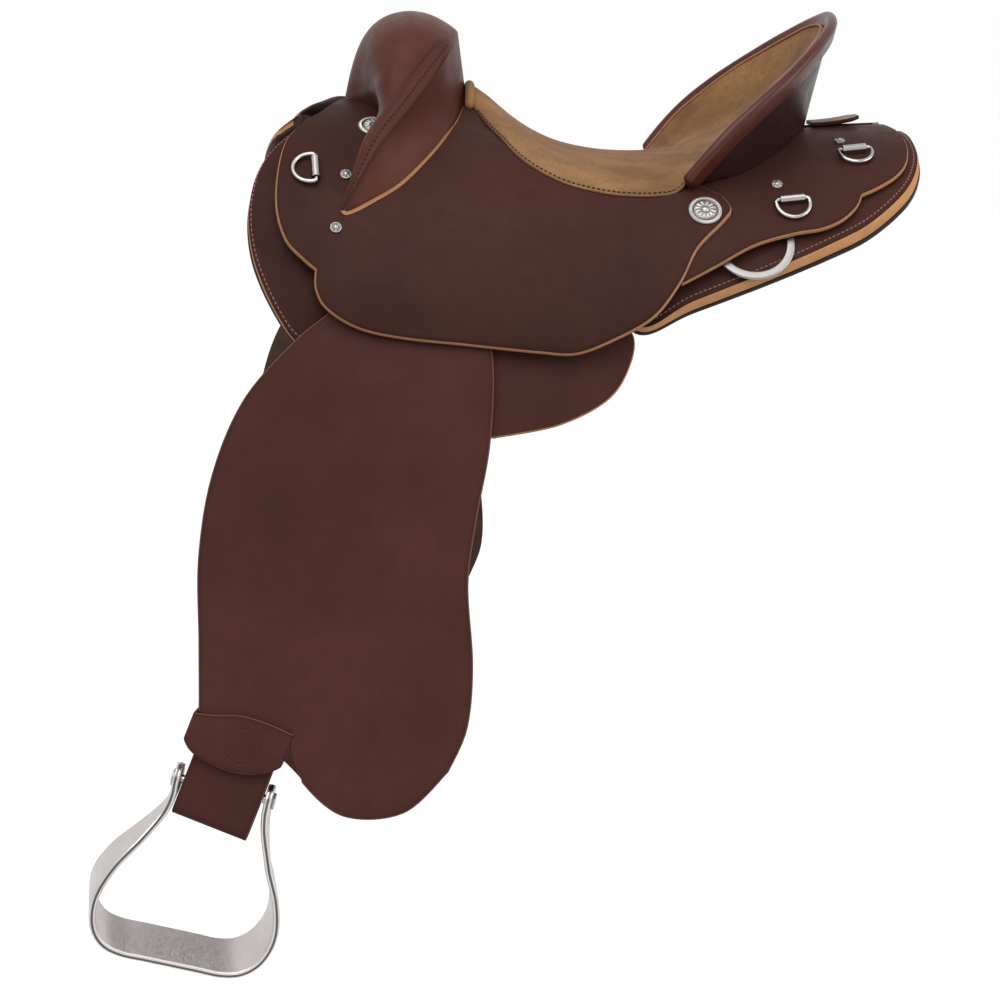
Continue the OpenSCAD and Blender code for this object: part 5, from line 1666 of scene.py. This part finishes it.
def stitches(path, up, z, sink=0.25):
    """A row of stitches: short capsules at an even pitch along a path, their ends pulled in."""
    steps = np.linalg.norm(np.diff(path, axis=0), axis=1)
    run = np.concatenate(((0,), np.cumsum(steps)))
    count = max(2, int(run[-1] / z.stitch_pitch))
    at = (np.arange(count) + 0.5) * run[-1] / count
    centre, lift = (np.stack([np.interp(at, run, line[:, k]) for k in range(3)], -1) for line in (path, up))
    ahead = np.stack([np.interp(at + 0.5, run, path[:, k]) - np.interp(at - 0.5, run, path[:, k])
                      for k in range(3)], -1)
    ahead, lift = unit(ahead), unit(lift)
    side = np.cross(ahead, lift)
    along = np.array((-1.0, -0.82, -0.35, 0.35, 0.82, 1.0))
    girth = np.array((0.0, 0.7, 1.0, 1.0, 0.7, 0.0)) * z.thread_d / 2
    a = np.radians(np.arange(0, 360, 60))
    middle = centre[:, None] + ahead[:, None] * (along * z.stitch_l / 2)[None, :, None]
    middle = middle - lift[:, None] * (sink * along**4)[None, :, None]
    ring = np.cos(a)[None, :, None] * side[:, None] + np.sin(a)[None, :, None] * lift[:, None]
    points = middle[:, :, None] + girth[None, :, None, None] * ring[:, None]
    one = surface(points[0], round_m=True).quads
    size = len(along) * len(a)
    quads = (one[None] + size * np.arange(count)[:, None, None]).reshape(-1, 4)
    return Skin(points.reshape(-1, 3), quads, np.zeros(len(quads), int), np.zeros(size * count))


class Stitching(bpy.types.Operator):
    """Sews the skirts, the fork's bands, the seat's edge and the cantle."""

    bl_idname = "saddle.stitching"
    bl_label = "Stitching"

    skirt_margin = 6.0
    skirt_least = 20.0
    skirt_point = 1e-6
    band_end = 0.02
    band_lift = 0.6
    # Lines beside each other on the seat and on the cantle's back; the middle one is sewn
    seat_margins = (0.975, 0.985, 0.995)
    seat_lift = 0.5
    cantle_margins = (15.5, 16.5, 17.5)
    cantle_lift = 0.7

    def execute(self, context):
        z = in_mm(context)
        top, _, edge = skirt_edges(z)
        width = span(top, edge)
        line = edge + (top - edge) * (self.skirt_margin / np.maximum(width, self.skirt_least))[:, None]
        off = skirt_depth(line, z)
        path = on_side(line, off)
        up = unit(path - on_side(line, off - 0.5))
        # Nothing is sewn where the skirt runs out to a point
        sewn = width > self.skirt_point
        skirt_row = stitches(path[sewn], up[sewn], z)
        s = np.linspace(BAND_START + self.band_end, BAND_END - self.band_end, 200)
        ground = on_fork(s, band_place((0.4, 0.5, 0.6)))
        lift = normals(ground)[:, 1]
        fork_row = stitches(ground[:, 1] + lift * (BAND_GAP + z.band_t + self.band_lift), lift, z)
        u = np.linspace(0.3, 9.3, 300)
        near = on_seat(u[:, None] + np.zeros(3), np.array(self.seat_margins) + 0 * u[:, None])
        rise = -normals(near)[:, 1]
        rise *= np.sign(rise[:, 2:])
        seat_row = stitches(near[:, 1] + rise * self.seat_lift, rise, z)
        rim, foot = cantle_lines(np.linspace(1, 0.02, 240), z)
        back = rim[:, None] + unit(foot - rim)[:, None] * np.array(self.cantle_margins)[None, :, None]
        away = normals(back)[:, 1]
        away *= np.sign(-away[:, :1])
        cantle_row = stitches(back[:, 1] + away * self.cantle_lift, away, z)
        rows = (("skirt", skirt_row, "red_thread"), ("fork", fork_row, "dark_thread"),
                ("seat", seat_row, "dark_thread"), ("cantle", cantle_row, "dark_thread"))
        for side, sign in SIDES:
            for name, row, finish in rows:
                piece("stitches_%s_%s" % (name, side), mirrored(row, sign), finishes(finish), "saddle",
                      slot=DARK_LEATHER, weld=True)
        return {"FINISHED"}


class InnerPieces(bpy.types.Operator):
    """Finishes the tree, the strainer, the studs and the rollers, which keep their solid shapes."""

    bl_idname = "saddle.inner_pieces"
    bl_label = "Tree and inner pieces"

    def execute(self, context):
        coats = {"tree_fork": "wood", "tree_cantle": "wood", "seat_strainer": "steel"}
        for side, _ in SIDES:
            coats["tree_bar_" + side] = "wood"
            coats["hanger_stud_" + side] = "steel"
            coats["stirrup_roller_" + side] = "steel"
        for name, finish in coats.items():
            mesh = frame["nodes"][name].data
            mesh.materials.clear()
            mesh.materials.append(finish_of(finish))
        return {"FINISHED"}


def seen_share(tree):
    """1 for rays from the camera, off gloss and through glass, which see the plain background."""
    path = tree.nodes.new("ShaderNodeLightPath").outputs
    share = math_node(tree, "MAXIMUM", path["Is Camera Ray"], path["Is Glossy Ray"])
    return math_node(tree, "MAXIMUM", share, path["Is Transmission Ray"])


class Stage(bpy.types.Operator):
    """Sets the pale floor, the soft lights and the camera."""

    bl_idname = "saddle.stage"
    bl_label = "Stage"

    floor_half = 60.0
    floor_drop = 0.012
    floor_glow = 0.86
    key_at = (0.5, 1.5, 2.2)
    key_size = 2.6
    fill_at = (-2.2, 0.9, 0.9)
    fill_size = 1.8
    sensor = 36.0

    def execute(self, context):
        scene, look = context.scene, context.scene.saddle_stage
        low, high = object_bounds()
        self.floor(low[2] - self.floor_drop)
        self.world(scene, look)
        middle = (np.array(low) + np.array(high)) / 2
        self.lamp("key_light", middle + self.key_at, middle, self.key_size, look.key_power)
        self.lamp("fill_light", middle + self.fill_at, middle, self.fill_size, look.fill_power)
        self.camera(scene, look)
        scene.view_settings.view_transform = "Standard"
        return {"FINISHED"}

    def floor(self, height):
        """A wide pale floor that keeps the shadow and looks white to the camera."""
        a = self.floor_half
        mesh = bpy.data.meshes.new("floor")
        corners = [(-a, -a, height), (a, -a, height), (a, a, height), (-a, a, height)]
        mesh.from_pydata(corners, [], [(0, 1, 2, 3)])
        material = bpy.data.materials.new("pale_floor")
        material.use_nodes = True
        tree = material.node_tree
        tree.nodes.clear()
        plain = node(tree, "ShaderNodeBsdfDiffuse", Color=(0.6, 0.6, 0.6, 1)).outputs[0]
        soft = node(tree, "ShaderNodeBsdfDiffuse", Color=(0.3, 0.3, 0.3, 1)).outputs[0]
        glow = node(tree, "ShaderNodeEmission", Color=(1, 1, 1, 1), Strength=self.floor_glow).outputs[0]
        seen = node(tree, "ShaderNodeAddShader", _0=soft, _1=glow).outputs[0]
        both = node(tree, "ShaderNodeMixShader", _0=seen_share(tree), _1=plain, _2=seen).outputs[0]
        node(tree, "ShaderNodeOutputMaterial", Surface=both)
        mesh.materials.append(material)
        obj = bpy.data.objects.new("floor", mesh)
        bpy.context.scene.collection.objects.link(obj)
        obj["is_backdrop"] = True

    def world(self, scene, look):
        """White surroundings for the camera and for reflections, and a softer level on the saddle."""
        world = bpy.data.worlds.new("studio")
        world.use_nodes = True
        tree = world.node_tree
        tree.nodes.clear()
        soft = node(tree, "ShaderNodeBackground", Color=(1, 1, 1, 1), Strength=look.sky).outputs[0]
        white = node(tree, "ShaderNodeBackground", Color=(1, 1, 1, 1), Strength=1.0).outputs[0]
        both = node(tree, "ShaderNodeMixShader", _0=seen_share(tree), _1=soft, _2=white).outputs[0]
        node(tree, "ShaderNodeOutputWorld", Surface=both)
        scene.world = world

    def lamp(self, name, place, target, size, power):
        """A square soft light that faces its target."""
        light = bpy.data.lights.new(name, "AREA")
        light.energy = power
        light.size = size
        obj = bpy.data.objects.new(name, light)
        aim = unit(np.array(place) - np.array(target))
        across = unit(np.cross((0, 0, 1), aim))
        back = Matrix(np.stack((across, np.cross(aim, across), aim), -1).tolist()).to_4x4()
        obj.matrix_world = Matrix.Translation(place.tolist()) @ back
        bpy.context.scene.collection.objects.link(obj)

    def camera(self, scene, look):
        """The camera at its angle and distance from the target."""
        data = bpy.data.cameras.new("camera")
        data.lens = look.lens
        data.sensor_width = self.sensor
        obj = bpy.data.objects.new("camera", data)
        a, e = look.azimuth, look.elevation
        right = np.array((math.cos(a), math.sin(a), 0))
        aim = np.array((math.cos(e) * math.sin(a), -math.cos(e) * math.cos(a), math.sin(e)))
        turned = Matrix(np.stack((right, np.cross(aim, right), aim), -1).tolist()).to_4x4()
        place = np.array(look.target) + look.distance * aim
        obj.matrix_world = Matrix.Translation(place.tolist()) @ turned
        bpy.context.scene.collection.objects.link(obj)
        scene.camera = obj


OPERATORS = (SeatJockeys, RearJockeys, Skirts, Linings, Fork, Seat, Cantle, Fenders, SweatFlaps,
             StirrupLeathers, Keepers, Stirrups, SmallDees, RiggingDees, Fittings, CrupperStrap, Stitching,
             InnerPieces, Stage)


class SaddlePanel(bpy.types.Panel):
    """Lists the saddle's pieces, sizes and colours."""

    bl_idname = "VIEW3D_PT_saddle"
    bl_label = "Stock saddle"
    bl_space_type = "VIEW_3D"
    bl_region_type = "UI"
    bl_category = "Saddle"

    def draw(self, context):
        column = self.layout.column(align=True)
        for operator in OPERATORS:
            column.operator(operator.bl_idname)
        for group in (context.scene.saddle_sizes, context.scene.saddle_colours, context.scene.saddle_stage):
            box = self.layout.box().column()
            for key in group.__annotations__:
                box.prop(group, key)


GROUPS = (("saddle_sizes", SaddleSizes), ("saddle_colours", SaddleColours), ("saddle_stage", SaddleStage))


def register():
    for name, group in GROUPS:
        bpy.utils.register_class(group)
        setattr(bpy.types.Scene, name, PointerProperty(type=group))
    for operator in OPERATORS + (SaddlePanel,):
        bpy.utils.register_class(operator)


def unregister():
    for operator in (SaddlePanel,) + OPERATORS[::-1]:
        bpy.utils.unregister_class(operator)
    for name, group in GROUPS[::-1]:
        delattr(bpy.types.Scene, name)
        bpy.utils.unregister_class(group)


def main():
    """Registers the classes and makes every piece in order."""
    register()
    for operator in OPERATORS:
        category, name = operator.bl_idname.split(".")
        getattr(getattr(bpy.ops, category), name)()


if __name__ == "__main__":
    main()
